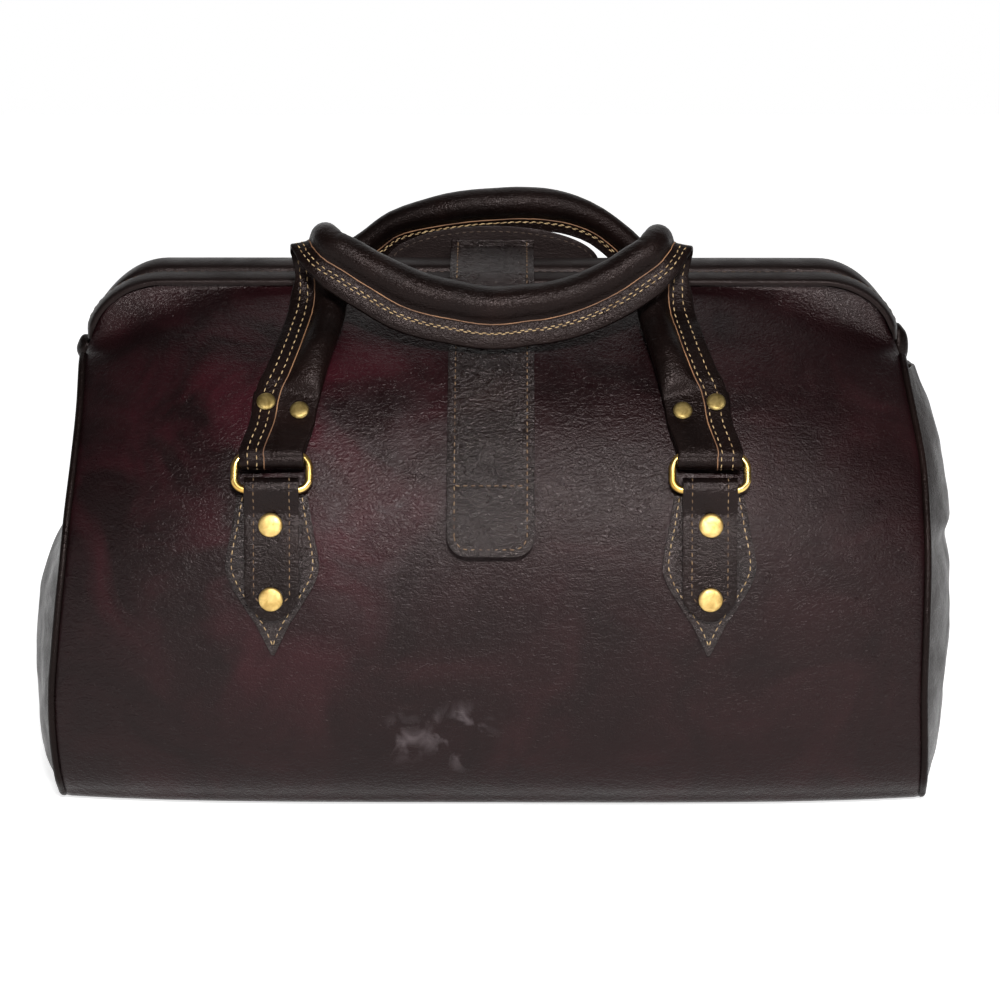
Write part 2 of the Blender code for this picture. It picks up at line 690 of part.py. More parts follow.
def build_yoke(finish):
    """A half moon that stands behind the mouth, with a straight hem sewn to the rear sleeve."""
    rows = [(yoke_base() - YOKE_HEM, YOKE_HALF_WIDTH), (yoke_base(), YOKE_HALF_WIDTH)]
    for k in range(1, YOKE_ROWS):
        turn = math.pi / 2 * k / YOKE_ROWS
        rows.append((yoke_base() + YOKE_RISE * math.sin(turn), YOKE_HALF_WIDTH * math.cos(turn)))
    grid = [[Vector((half * share, yoke_y(), z)) for share in (-1.0, -0.5, 0.0, 0.5, 1.0)]
            for z, half in rows]
    return sheet("strap_yoke", grid, YOKE_LEATHER, finish)


def strap_front_of_yoke():
    return yoke_y() - YOKE_LEATHER / 2 - GAP


def build_sewn_end(finish):
    y = strap_front_of_yoke() - STRAP_LEATHER / 2
    low = STRAP_HINGE_HEIGHT + GAP
    grid = [[Vector((x, y, z)) for x in (-STRAP_HALF_WIDTH, 0.0, STRAP_HALF_WIDTH)]
            for z in (low, low + STRAP_SEWN_LENGTH)]
    return sheet("strap_sewn_end", grid, STRAP_LEATHER, finish)


def strap_root():
    """Y and Z of the strap's bending line, at the top of its leather."""
    return strap_front_of_yoke() - STRAP_LEATHER - GAP, STRAP_HINGE_HEIGHT


def snap_lift():
    """Lift of the strap's underside where the closed snap lies between it and the panel."""
    return LAY_GAP + SOCKET_THICKNESS + GAP + STUD_THICKNESS + GAP


def build_strap(finish):
    half = STRAP_LEATHER / 2
    over = GAP + half
    root_y, root_z = strap_root()
    soft_crest = REAR_CREST * SLEEVE_SHOULDER_SHARES[1]
    points = [Vector((0.0, root_y, root_z - half)),
              Vector((0.0, REAR_CREST_Y, FRAME_TOP + REAR_CREST + over)),
              Vector((0.0, MOUTH_FACE + SLEEVE_LEATHER, FRAME_TOP + soft_crest + over)),
              Vector((0.0, (MOUTH_FACE - SLEEVE_EDGE_Y) / 2, FRAME_TOP + FRONT_CREST + over)),
              Vector((0.0, -SLEEVE_EDGE_Y - over, FRAME_TOP + FRONT_EDGE + over))]
    first, last = row_at(0.0, STRAP_TIP_HEIGHT), float(sum(SPAN_CUTS[:11]))
    snap_row = row_at(0.0, SNAP_HEIGHT)
    rows = rows_between(first, last)[::-1]
    for row in rows:
        near_snap = min(1.0, max(0.0, (row - snap_row - 1.0) / SNAP_FADE_ROWS))
        lift = lerp(snap_lift(), LAY_GAP, near_snap) + half
        points.append(outside(-1, 0.0, row, lift)[0])
    tip, before = points[-1], points[-2]
    points.insert(-1, lerp(tip, before, min(STRAP_ROUND_LIMIT_SHARE,
                                          STRAP_TIP_ROUND / (before - tip).length)))
    grid = []
    for k, point in enumerate(points):
        width = STRAP_HALF_WIDTH
        if k == len(points) - 1:
            width = STRAP_HALF_WIDTH - STRAP_TIP_ROUND
        grid.append([Vector((width * share, point.y, point.z)) for share in (-1.0, 0.0, 1.0)])
    return sheet("closure_strap", grid, STRAP_LEATHER, finish)


def build_snap(socket_finish, stud_finish):
    point, normal = outside(-1, 0.0, row_at(0.0, SNAP_HEIGHT), LAY_GAP)
    thick, bore = SOCKET_THICKNESS, SNAP_BORE
    profile = ((0, 0), (SNAP_RADIUS, 0), (SNAP_RADIUS, thick), (bore, thick),
               (bore, thick - STUD_REACH - GAP), (0, thick - STUD_REACH - GAP))
    bm = bmesh.new()
    turned_into(bm, profile, upright(point, normal), SNAP_SEGMENTS)
    socket = add_object("snap_socket", bm, socket_finish)
    base = thick + GAP
    profile = ((0, base - STUD_REACH), (STUD_RADIUS, base - STUD_REACH), (STUD_RADIUS, base),
               (SNAP_RADIUS, base), (SNAP_RADIUS, base + STUD_THICKNESS),
               (0, base + STUD_THICKNESS))
    bm = bmesh.new()
    turned_into(bm, profile, upright(point, normal), SNAP_SEGMENTS)
    return socket, add_object("snap_stud", bm, stud_finish)


# Chapes and rings
def chape_lift():
    """Lift of the chape's inner layer's middle above the panel."""
    return LAY_GAP + PATCH_LEATHER + GAP + CHAPE_LEATHER / 2


def ring_lift():
    return chape_lift() + CHAPE_LEATHER / 2 + LOOP_PLAY + RING_WIRE + BAR_EXTRA_LIFT


def build_patch(name, side, end, finish):
    """The pointed leather patch that lies under a chape."""
    lift = LAY_GAP + PATCH_LEATHER / 2
    centre = end * CHAPE_X
    low, high = row_at(centre, PATCH_TIP), row_at(centre, PATCH_TOP)
    heights = [lerp(PATCH_TIP, PATCH_TOP, share) for share, _ in PATCH_SHARES]
    stops = sorted(set(rows_between(low, high)) | {row_at(centre, h) for h in heights[1:-1]})
    rows = [stops[0]]
    for row in stops[1:]:
        if row - rows[-1] > PATCH_ROW_STEP_SHARE:
            rows.append(row)
    rows[-1] = high
    grid = []
    for row in rows:
        height = outside(side, centre, row)[0].z
        share = (height - PATCH_TIP) / (PATCH_TOP - PATCH_TIP)
        half = PATCH_HALF_WIDTH * from_table(PATCH_SHARES, share)
        grid.append([outside(side, centre + half * s, row, lift)[0] for s in (-1.0, 0.0, 1.0)])
    return sheet(name, grid, PATCH_LEATHER, finish)


def loop_points(side, x, centre_x, row, lift, radius, raise_by, first, last, cuts):
    """Points round a ring's wire: angles run from the upward tangent towards the outside."""
    centre, normal = outside(side, centre_x, row, lift)
    centre = Vector((x, centre.y, centre.z))
    up = Vector((0.0, -side * normal.z, side * normal.y))
    if up.z < 0:
        up = -up
    centre = centre + up * raise_by
    turns = [math.radians(lerp(first, last, k / cuts)) for k in range(cuts + 1)]
    return [centre + (up * math.cos(a) + normal * math.sin(a)) * radius for a in turns]


def build_chape(name, side, end, finish):
    """A strap folded round the ring's bar, with both pointed layers on the patch."""
    centre = end * CHAPE_X
    inner = chape_lift()
    outer = inner + CHAPE_LEATHER + GAP
    bar = row_at(centre, RING_HEIGHT)
    knee = row_at(centre, UPPER_RIVET_HEIGHT + CHAPE_RIVET_RADIUS)
    point_rows = [(row_at(centre, CHAPE_LOW + share * CHAPE_POINT), wide)
                  for share, wide in CHAPE_POINT_SHARES]
    rows = point_rows + [(row, 1.0) for row in rows_between(point_rows[-1][0], knee)[1:]]
    radius = RING_WIRE + LOOP_PLAY + CHAPE_LEATHER / 2
    columns = []
    for share in (-1.0, 0.0, 1.0):
        half = CHAPE_HALF_WIDTH * share
        x = centre + half
        points = [outside(side, centre + half * wide, row, outer)[0] for row, wide in rows]
        points += loop_points(side, x, centre, bar, ring_lift(), radius, 0.0, 125, 90, 1)
        points += loop_points(side, x, centre, bar, ring_lift(), radius, LOOP_RAISE, 90, -90, 6)
        points += [outside(side, centre + half * wide, row, inner)[0] for row, wide in rows[::-1]]
        columns.append(points)
    grid = [[column[k] for column in columns] for k in range(len(columns[0]))]
    return sheet(name, grid, CHAPE_LEATHER, finish)


def ring_frame(side, end):
    """Centre of the ring's bar, and the unit way from it to the ring's top."""
    centre = end * CHAPE_X
    bar_row = row_at(centre, RING_HEIGHT)
    bar, normal = outside(side, centre, bar_row, ring_lift())
    top, _ = outside(side, centre, row_at(centre, RING_HEIGHT + RING_RISE), RING_TOP_LIFT)
    up = Vector((0.0, top.y - bar.y, top.z - bar.z)).normalized()
    return bar, up


def build_ring(name, side, end, finish):
    """A D ring: a straight bar, two sides, and a rounder top, bent from one wire."""
    bar, up = ring_frame(side, end)
    across = Vector((1.0, 0.0, 0.0))
    outline = []
    high = RING_RISE - RING_TOP_CORNER
    corners = ((1, high, RING_TOP_CORNER, 0), (-1, high, RING_TOP_CORNER, 90),
               (-1, RING_LOW_CORNER, RING_LOW_CORNER, 180), (1, RING_LOW_CORNER, RING_LOW_CORNER, 270))
    for sign, height, radius, start in corners:
        for k in range(RING_CORNER_CUTS + 1):
            turn = math.radians(start + 90 * k / RING_CORNER_CUTS)
            outline.append((sign * (RING_HALF_WIDTH - radius) + radius * math.cos(turn),
                            height + radius * math.sin(turn)))
    points = [bar + across * x + up * z for x, z in outline]
    out = across.cross(up)
    rings = []
    count = len(points)
    for k, point in enumerate(points):
        tangent = (points[(k + 1) % count] - points[k - 1]).normalized()
        rings.append(circle(point, tangent.cross(out), out, RING_WIRE, RING_SIDES))
    bm = bmesh.new()
    made = [[bm.verts.new(p) for p in ring] for ring in rings]
    for k in range(count):
        low, high = made[k], made[(k + 1) % count]
        for i in range(RING_SIDES):
            j = (i + 1) % RING_SIDES
            bm.faces.new((low[i], low[j], high[j], high[i]))
    return add_object(name, bm, finish)


def build_rivet(name, place, radius, finish):
    """A domed cap at the point, a shank of the grip's length behind it and a flat back cap."""
    point, normal, grip = place
    cap, back = radius * RIVET_CAP_SHARE, radius * RIVET_BACK_SHARES[1]
    flat = radius * RIVET_BACK_SHARES[0]
    profile = [(radius * r, cap * h) for r, h in RIVET_DOME_SHARES]
    profile += [(RIVET_SHANK, 0), (RIVET_SHANK, -grip), (flat, -grip), (flat, -grip - back),
                (0, -grip - back)]
    bm = bmesh.new()
    turned_into(bm, profile, upright(point, normal), RIVET_SEGMENTS)
    return add_object(name, bm, finish)


def shank_cutter(name, places, finish):
    bm = bmesh.new()
    for point, normal, deep in places:
        cylinder_into(bm, point - normal * deep, point + normal * OVERRUN, RIVET_SHANK + GAP, 8)
    return add_object(name, bm, finish)


def chape_rivet_places(side):
    """Where the chape rivets' caps sit, their normals, and the leather that they hold."""
    cap_lift = chape_lift() + 1.5 * CHAPE_LEATHER + 3 * GAP
    places = []
    for end in (-1, 1):
        for height in (UPPER_RIVET_HEIGHT, LOWER_RIVET_HEIGHT):
            x = end * CHAPE_X
            row = row_at(x, height)
            normal = true_normal(side, x, row, CHAPE_RIVET_RADIUS)
            point = outside(side, x, row)[0] + normal * cap_lift
            places.append((point, normal, cap_lift + PANEL_LEATHER + 2 * GAP))
    return places


# Handles
def handle_section(centre, flange, face, flat):
    """The section of a handle: a roll on one side and a flange on the other."""
    wide = lerp(HANDLE_ROLL, TAB_HALF_WIDTH - HANDLE_FLANGE / 2, flat)
    tall = lerp(HANDLE_ROLL, TAB_LEATHER / 2, flat)
    edge = lerp(HANDLE_FLANGE_THICKNESS, TAB_LEATHER, flat) / 2
    total = 2 * wide + HANDLE_FLANGE
    middle = total / 2 - wide
    points = []
    for k in range(ARC_CUTS + 1):
        turn = math.radians(lerp(ARC_START_DEGREES, 360 - ARC_START_DEGREES, k / ARC_CUTS))
        points.append((-middle + wide * math.cos(turn), tall * math.sin(turn)))
    points += [(total / 2, -edge), (total / 2, edge)]
    return [centre + flange * w + face * n for w, n in points]


def tab_stations(side, end):
    """Centres of the folded end round the ring: up its back, round the ring and up its front."""
    lean = end * CHAPE_X * LEG_X_SHARES[1]
    bar, up = ring_frame(side, end)
    normal = Vector((-side, 0.0, 0.0)).cross(up)
    beside = TAB_HALF_WIDTH - RING_HALF_WIDTH + RING_TOP_CORNER
    drop = RING_TOP_CORNER - math.sqrt(RING_TOP_CORNER ** 2 - beside ** 2)
    low = bar + up * (RING_RISE - drop - TAB_FOLD_PLAY)
    radius = RING_WIRE + TAB_PLAY + TAB_LEATHER / 2
    loop = []
    for k in range(TAB_FOLD_CUTS + 1):
        turn = math.pi * k / TAB_FOLD_CUTS
        loop.append(low + (normal * -math.cos(turn) - up * math.sin(turn)) * radius)
    high = bar + up * (RING_RISE + RING_WIRE)
    back_end, _ = outside(side, lean, row_at(lean, TAB_BACK_END), TAB_RIVET_LIFT)
    pinch, pinch_normal = outside(side, lean, row_at(lean, TAB_PINCH_HEIGHT), TAB_RIVET_LIFT)
    return ([back_end, pinch, high - normal * radius] + loop
            + [high + normal * radius, pinch + pinch_normal * (TAB_LEATHER + GAP)])


def half_handle(side, end, grip, leg_lifts, flange_sign):
    """Centre, flange and flatness at the stations of one half, from the folded end upwards."""
    flange = Vector((end * flange_sign, 0.0, 0.0))
    stations = [(point, flange, 1.0) for point in tab_stations(side, end)]
    flat_lift = TAB_RIVET_LIFT + TAB_LEATHER + GAP
    for height, flat in ((ROLL_START_HEIGHT, 1.0), (ROLL_MIDDLE_HEIGHT, ROLL_MIDDLE_FLAT_SHARE)):
        climb = (height - TAB_RIVET_HEIGHT) / (LEG_HEIGHT - TAB_RIVET_HEIGHT)
        x = end * CHAPE_X * lerp(LEG_X_SHARES[1], LEG_X_SHARES[2], climb)
        lift = lerp(max(flat_lift, leg_lifts[0]), flat_lift, flat)
        stations.append((outside(side, x, row_at(x, height), lift)[0], flange, flat))
    for share, height, lift in zip(LEG_X_SHARES[2:], (LEG_HEIGHT, LEG_HEIGHT + LEG_STEP), leg_lifts):
        x = end * CHAPE_X * share
        stations.append((outside(side, x, row_at(x, height), lift)[0], flange, 0.0))
    for (x, y, z), way in grip:
        point = Vector((end * x * CHAPE_X, y * BODY_HALF_DEPTH, z * BODY_HEIGHT))
        stations.append((point, Vector((end * way[0], way[1], way[2])), 0.0))
    return stations


def build_handle(name, side, grip, leg_lifts, flange_sign, finish):
    right = half_handle(side, 1, grip, leg_lifts, flange_sign)
    left = half_handle(side, -1, grip, leg_lifts, flange_sign)
    stations = right + left[-2::-1]
    tab_count = len(tab_stations(side, 1))
    rings = []
    last = len(stations) - 1
    for k, (point, flange, flat) in enumerate(stations):
        before, after = stations[max(k - 1, 0)][0], stations[min(k + 1, last)][0]
        tangent = (after - before).normalized()
        if tab_count > k or k > last - tab_count:
            tangent = (tangent - Vector((tangent.x, 0.0, 0.0))).normalized()
        across = (flange - tangent * flange.dot(tangent)).normalized()
        out = tangent.cross(across)
        rings.append(handle_section(point, across, out, flat))
    return loft(name, rings, finish, 50)


def tab_rivet_places(side):
    """Where the handle rivets' caps sit, their normals, and the leather that they hold."""
    cap_lift = TAB_RIVET_LIFT + 1.5 * TAB_LEATHER + 2 * GAP
    places = []
    for end in (-1, 1):
        lean = end * CHAPE_X * LEG_X_SHARES[1]
        for offset in (-TAB_RIVET_SPREAD, TAB_RIVET_SPREAD):
            row = row_at(lean, TAB_RIVET_HEIGHT + TAB_RIVET_TILT_SHARE * offset * end)
            point, normal = outside(side, lean, row, cap_lift)
            place = point + Vector((offset, 0.0, 0.0))
            places.append((place, normal, 2 * TAB_LEATHER + 4 * GAP))
    return places


# Assembly
def build():
    clear_scene()
    leather = (LEATHER, 0.35)
    dark = (DARK_LEATHER, 0.40)
    steel = (STEEL, 0.35, 1.0)
    brass = (BRASS, 0.25, 1.0)
    old_brass = (OLD_BRASS, 0.40, 1.0)
    board = (BOARD, 0.80)
    sides = (("front", -1), ("rear", 1))
    ends = (("left", -1), ("right", 1))

    panels = {word: build_panel(word + "_panel", side, leather) for word, side in sides}
    build_gusset("left_gusset", -1, LEFT_BULGE_SHARES, dark)
    build_gusset("right_gusset", 1, RIGHT_BULGE_SHARES, dark)
    build_board(board)
    for word, side in sides:
        for end_word, end in ends:
            build_piping(f"{word}_{end_word}_piping", side, end, dark)

    front_sleeve = build_sleeve("front_frame_cover", -1, dark)
    build_sleeve("rear_frame_cover", 1, dark)
    front_bar = build_bar("front_frame_bar", FRONT_BAR_DEEP, (FRONT_BAR_FAR, FRONT_BAR_NEAR), steel)
    build_bar("rear_frame_bar", rear_bar_deep(), (REAR_BAR_NEAR, REAR_BAR_FAR), steel)
    for end_word, end in ends:
        build_pin(end_word + "_hinge_pin", end, steel)
    build_hinge_cover("left_hinge_cover", -1, LEFT_HINGE_COVER_RAISE, dark)
    build_hinge_cover("right_hinge_cover", 1, RIGHT_HINGE_COVER_RAISE, dark)
    carry((front_sleeve, front_bar), pivot("mouth_hinge", (0.0, 0.0, HINGE_HEIGHT)))

    build_yoke(leather)
    build_sewn_end(leather)
    strap = build_strap(leather)
    _, stud = build_snap(old_brass, old_brass)
    carry((strap, stud), pivot("strap_hinge", (0.0, *strap_root())))

    for word, side in sides:
        rivets = chape_rivet_places(side)
        boolean(panels[word], shank_cutter(word + "_panel_hole_guide", rivets, brass))
        rings = []
        for end_word, end in ends:
            mine = [place for place in rivets if place[0].x * end > 0]
            for level, place in zip(("upper", "lower"), mine):
                name = f"{word}_{end_word}_{level}_chape_rivet"
                build_rivet(name, place, CHAPE_RIVET_RADIUS, brass)
            patch = build_patch(f"{word}_{end_word}_patch", side, end, leather)
            chape = build_chape(f"{word}_{end_word}_chape", side, end, dark)
            for piece in (patch, chape):
                boolean(piece, shank_cutter(piece.name + "_hole_guide", mine, brass))
            rings.append(build_ring(f"{word}_{end_word}_ring", side, end, brass))
        bar, _ = ring_frame(side, 1)
        carry(rings, pivot(word + "_ring_hinge", (0.0, bar.y, bar.z)))

    front_lifts = (FRONT_LEG_LIFT, FRONT_LEG_TOP_LIFT)
    rear_lifts = (REAR_LEG_LIFT, REAR_LEG_TOP_LIFT)
    grips = (("front", -1, FRONT_GRIP_SHARES, front_lifts, 1),
             ("rear", 1, REAR_GRIP_SHARES, rear_lifts, -1))
    for word, side, grip, lifts, flange_sign in grips:
        handle = build_handle(word + "_handle", side, grip, lifts, flange_sign, dark)
        places = tab_rivet_places(side)
        boolean(handle, shank_cutter(word + "_handle_hole_guide", places, brass))
        rivets = []
        for k, place in enumerate(places):
            name = f"{word}_handle_rivet_{k + 1}"
            rivets.append(build_rivet(name, place, TAB_RIVET_RADIUS, old_brass))
        bar, up = ring_frame(side, 1)
        top = bar + up * RING_RISE
        carry([handle] + rivets, pivot(word + "_handle_hinge", (0.0, top.y, top.z)))
    bpy.context.view_layer.update()


build()
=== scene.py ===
# %% [markdown]
# # A leather travel bag with a steel mouth frame
#
# The real bag is sewn from a front and a rear panel of thick, waxed leather and two softer end
# gussets. A U of steel strip runs inside each leather sleeve at the mouth, and the two halves turn
# on pins at the ends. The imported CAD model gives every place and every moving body, so this script
# only dresses it: it lays finer leather, stitches and metal around the same sizes.

# %% Load the frame
import json
import math
from bisect import bisect_right
from functools import lru_cache
from itertools import product

import bmesh
import bpy
from mathutils import Matrix, Vector, noise

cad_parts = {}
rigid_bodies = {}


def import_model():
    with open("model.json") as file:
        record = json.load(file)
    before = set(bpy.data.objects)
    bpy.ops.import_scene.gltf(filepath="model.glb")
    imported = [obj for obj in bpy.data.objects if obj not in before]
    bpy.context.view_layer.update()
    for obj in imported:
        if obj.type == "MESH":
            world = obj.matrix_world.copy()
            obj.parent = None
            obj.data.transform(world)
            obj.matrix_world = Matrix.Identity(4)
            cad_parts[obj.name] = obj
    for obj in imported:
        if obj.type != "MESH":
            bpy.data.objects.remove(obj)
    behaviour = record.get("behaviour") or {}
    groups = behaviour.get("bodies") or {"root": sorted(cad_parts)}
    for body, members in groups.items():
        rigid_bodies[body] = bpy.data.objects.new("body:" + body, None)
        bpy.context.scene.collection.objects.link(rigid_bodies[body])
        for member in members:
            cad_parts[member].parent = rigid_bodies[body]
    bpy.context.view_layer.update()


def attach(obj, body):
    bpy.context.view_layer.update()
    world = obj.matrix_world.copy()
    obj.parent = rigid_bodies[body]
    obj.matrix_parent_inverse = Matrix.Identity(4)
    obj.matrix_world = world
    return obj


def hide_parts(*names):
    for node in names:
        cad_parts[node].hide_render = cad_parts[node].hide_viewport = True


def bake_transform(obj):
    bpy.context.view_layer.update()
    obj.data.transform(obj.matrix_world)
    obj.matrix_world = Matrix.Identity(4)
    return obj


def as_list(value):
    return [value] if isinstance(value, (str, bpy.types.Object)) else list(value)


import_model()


def add_object(name, data):
    added = bpy.data.objects.new(name, data)
    bpy.context.scene.collection.objects.link(added)
    return added


# %% [markdown]
# ## The camera
#
# The photograph was taken with a long lens, straight in front of the bag and a little above it. A
# long lens far away keeps the edges nearly parallel, as they are there. The small shift only puts
# the bag where the photograph has it.

# %% Camera at the photograph's angle
LENS_MM = 118.3
SENSOR_MM = 36.0
CAMERA_DISTANCE = 1.80
CAMERA_AZIMUTH = 0.4
CAMERA_ELEVATION = 10.5
CAMERA_SHIFT = (0.0078, 0.024)
LOOK_AT = Vector((0.0, 0.0, 0.135))

camera_data = bpy.data.cameras.new("photo_camera")
camera_data.lens = LENS_MM
camera_data.sensor_width = SENSOR_MM
camera_data.shift_x, camera_data.shift_y = CAMERA_SHIFT
camera = add_object("photo_camera", camera_data)
azimuth, elevation = math.radians(CAMERA_AZIMUTH), math.radians(CAMERA_ELEVATION)
away = Vector((math.sin(azimuth) * math.cos(elevation), -math.cos(azimuth) * math.cos(elevation),
               math.sin(elevation)))
looking = (-away).to_track_quat("-Z", "Y").to_matrix().to_4x4()
camera.matrix_world = Matrix.Translation(LOOK_AT + away * CAMERA_DISTANCE) @ looking
bpy.context.scene.camera = camera
print("camera at", [round(c, 3) for c in camera.location])

# %% [markdown]
# ## Leather and metal
#
# Waxed leather is nearly black, with a red-brown dye that shows where the wax is thin. It has
# pores of about a millimetre, creases where it bends, and a gloss that changes from place to
# place. All of it reads Object coordinates, so the pattern has a real size in metres. The colour
# comes from slow noise, and the bump from layers: a slow swell, creases, folds, grain and pores.


# %% A small kit for node materials
def wire(tree, node, inputs):
    """Gives each named input of a node its number or colour, or what another node gives."""
    for key, value in inputs.items():
        if isinstance(value, bpy.types.NodeSocket):
            tree.links.new(value, node.inputs[key])
        else:
            node.inputs[key].default_value = value


def add_node(tree, kind, inputs, **settings):
    """Adds a node and returns its outputs."""
    node = tree.nodes.new("ShaderNode" + kind)
    for key, value in settings.items():
        setattr(node, key, value)
    wire(tree, node, inputs)
    return node.outputs


def new_material(name):
    made = bpy.data.materials.new(name)
    made.use_nodes = True
    return made, made.node_tree, made.node_tree.nodes["Principled BSDF"]


def object_coords(tree, squeeze=1.0, turn=0.0):
    """Object coordinates, turned about Y by some degrees and squeezed along Z."""
    place = add_node(tree, "TexCoord", {})["Object"]
    return add_node(tree, "Mapping", {"Vector": place, "Scale": (1.0, 1.0, squeeze),
                                      "Rotation": (0.0, math.radians(turn), 0.0)})["Vector"]


def ramp(tree, source, stops):
    """A colour ramp over the source; each stop is a position and a colour."""
    node = tree.nodes.new("ShaderNodeValToRGB")
    elements = node.color_ramp.elements
    while len(elements) < len(stops):
        elements.new(0.5)
    for element, (position, colour) in zip(elements, stops):
        element.position = position
        element.color = (*colour, 1.0)
    wire(tree, node, {"Fac": source})
    return node.outputs["Color"]


def spread(tree, source, low, high, start=0.3, stop=0.7):
    """Goes from low to high while the source goes from start to stop."""
    return add_node(tree, "MapRange", {"Value": source, "From Min": start, "From Max": stop,
                                       "To Min": low, "To Max": high})["Result"]


def joined(tree, operation, one, other):
    return add_node(tree, "Math", {0: one, 1: other}, operation=operation)["Value"]


def bump(tree, height, strength, distance, below=None):
    inputs = {"Height": height, "Strength": strength, "Distance": distance}
    if below is not None:
        inputs["Normal"] = below
    return add_node(tree, "Bump", inputs)["Normal"]


def noise_of(tree, vector, scale, detail=3.0, distortion=0.0):
    return add_node(tree, "TexNoise", {"Vector": vector, "Scale": scale, "Detail": detail,
                                       "Distortion": distortion})["Fac"]


# %% Leather
MIX_BELOW, MIX_ABOVE, MIX_RESULT = 6, 7, 2  # the colour sockets of a Mix node
WEAR_AND_SHEEN_EDGE = 0.26
WARM_TINT = (1.0, 0.74, 0.70, 1.0)


def wear_and_sheen_patch(tree, place, colour, spot, size, patch_colour, scale, start):
    """Shows another colour in patches round one spot: dye, worn scuffs and one painted sheen."""
    away = add_node(tree, "VectorMath", {0: place, 1: spot}, operation="DISTANCE")["Value"]
    patches = spread(tree, noise_of(tree, place, scale, 6.0, 1.0), 0.0, 1.0, start,
                     start + WEAR_AND_SHEEN_EDGE)
    patchy = joined(tree, "MULTIPLY", spread(tree, away, 1.0, 0.0, 0.0, size), patches)
    return add_node(tree, "Mix", {"Factor": patchy, MIX_BELOW: colour, MIX_ABOVE: (*patch_colour, 1.0)},
                    data_type="RGBA")[MIX_RESULT]


def leather(name, deep, warm, roughness, crease, pore, coat, glints, grain, gloss_level, spots_of_wear_and_sheen=()):
    """Leather from its two colours, its gloss and how strong each layer of its surface is."""
    made, tree, shader = new_material(name)
    place = object_coords(tree)
    tone = noise_of(tree, place, 17.0, 8.0, 1.2)
    middle = [(a + b) / 2.4 for a, b in zip(deep, warm)]
    colour = ramp(tree, tone, ((0.34, deep), (0.54, middle), (0.74, warm)))
    # Patches of dye and scuffs, and one painted sheen, go over the noise colour.
    for spot in spots_of_wear_and_sheen:
        colour = wear_and_sheen_patch(tree, place, colour, *spot)
    surface = bump(tree, tone, 0.10, 0.004)
    for squeeze, turn, pattern, strength, distance in (
            (1.9, 28.0, (170.0, 4.0, 2.2), crease, 0.0018),
            (2.6, -18.0, (46.0, 4.0, 1.4), crease * 0.5, 0.0030),
            (1.7, 32.0, (430.0, 3.0, 1.0), grain, 0.0010)):
        wrinkles = noise_of(tree, object_coords(tree, squeeze, turn), *pattern)
        surface = bump(tree, wrinkles, strength, distance, surface)
    pores = add_node(tree, "TexVoronoi", {"Vector": place, "Scale": 640.0},
                     feature="DISTANCE_TO_EDGE")["Distance"]
    surface = bump(tree, spread(tree, pores, 0.0, 1.0, 0.0, 0.16), pore, 0.0003, surface)
    shine = noise_of(tree, place, 60.0, 6.0, 0.4)
    wire(tree, shader, {
        "Base Color": colour, "Normal": surface, "Coat Normal": surface,
        "Roughness": spread(tree, shine, roughness - glints, roughness + glints),
        "Specular Tint": WARM_TINT, "Specular IOR Level": gloss_level,
        "Coat Weight": coat, "Coat Roughness": 0.24})
    return made


# Each patch is a spot, its reach, its colour, the scale of its patches and where they start. The
# first is dye, the last two are scuffs, and the second is a painted sheen.
WEAR_AND_SHEEN_SPOTS = (
    ((-0.135, -0.100, 0.185), 0.150, (0.0400, 0.0050, 0.0095), 17.0, 0.40),
    # A painted sheen: a lighter mauve-grey patch where the highlight falls left of the strap.
    ((-0.060, -0.105, 0.165), 0.075, (0.0330, 0.0230, 0.0245), 60.0, 0.46),
    ((-0.0160, -0.112, 0.042), 0.022, (0.230, 0.190, 0.200), 55.0, 0.50),
    ((-0.0440, -0.112, 0.041), 0.017, (0.130, 0.105, 0.110), 70.0, 0.50),
)
burgundy = leather("burgundy_leather", (0.0048, 0.0017, 0.0020), (0.0160, 0.0046, 0.0055), 0.34,
                   0.26, 0.20, 0.17, 0.08, 0.42, 0.13, WEAR_AND_SHEEN_SPOTS)
black_brown = leather("black_brown_leather", (0.0030, 0.0017, 0.0015), (0.0080, 0.0040, 0.0034),
                      0.36, 0.22, 0.22, 0.05, 0.10, 0.2, 0.10)
smooth = leather("smooth_leather", (0.0060, 0.0040, 0.0038), (0.0110, 0.0074, 0.0070), 0.42, 0.10,
                 0.15, 0.04, 0.10, 0.12, 0.10)
strap_leather = leather("waxed_strap_leather", (0.0028, 0.0016, 0.0015), (0.0080, 0.0038, 0.0034),
                        0.30, 0.26, 0.2, 0.12, 0.12, 0.3, 0.12)
varnished = leather("varnished_leather", (0.0036, 0.0020, 0.0019), (0.0115, 0.0050, 0.0045),
                    0.25, 0.50, 0.3, 0.40, 0.12, 0.75, 0.20)
print("leathers:", burgundy.name, black_brown.name, strap_leather.name, varnished.name)


# %% [markdown]
# The thread is waxed linen, tan where it is new and ochre where it is worn. The cut edges of the
# leather show its tanned inside, so they are orange-brown. The rings and the big rivets are
# polished brass; the small rivets have darkened. The steel of the frame is plain strip.

# %% Thread, raw edges, lining and board
def plain_fibre(name, low, high, roughness, scale, strength):
    made, tree, shader = new_material(name)
    grain = noise_of(tree, object_coords(tree), scale, 4.0)
    wire(tree, shader, {"Base Color": ramp(tree, grain, ((0.35, low), (0.65, high))),
                        "Normal": bump(tree, grain, strength, 0.0003), "Roughness": roughness})
    return made


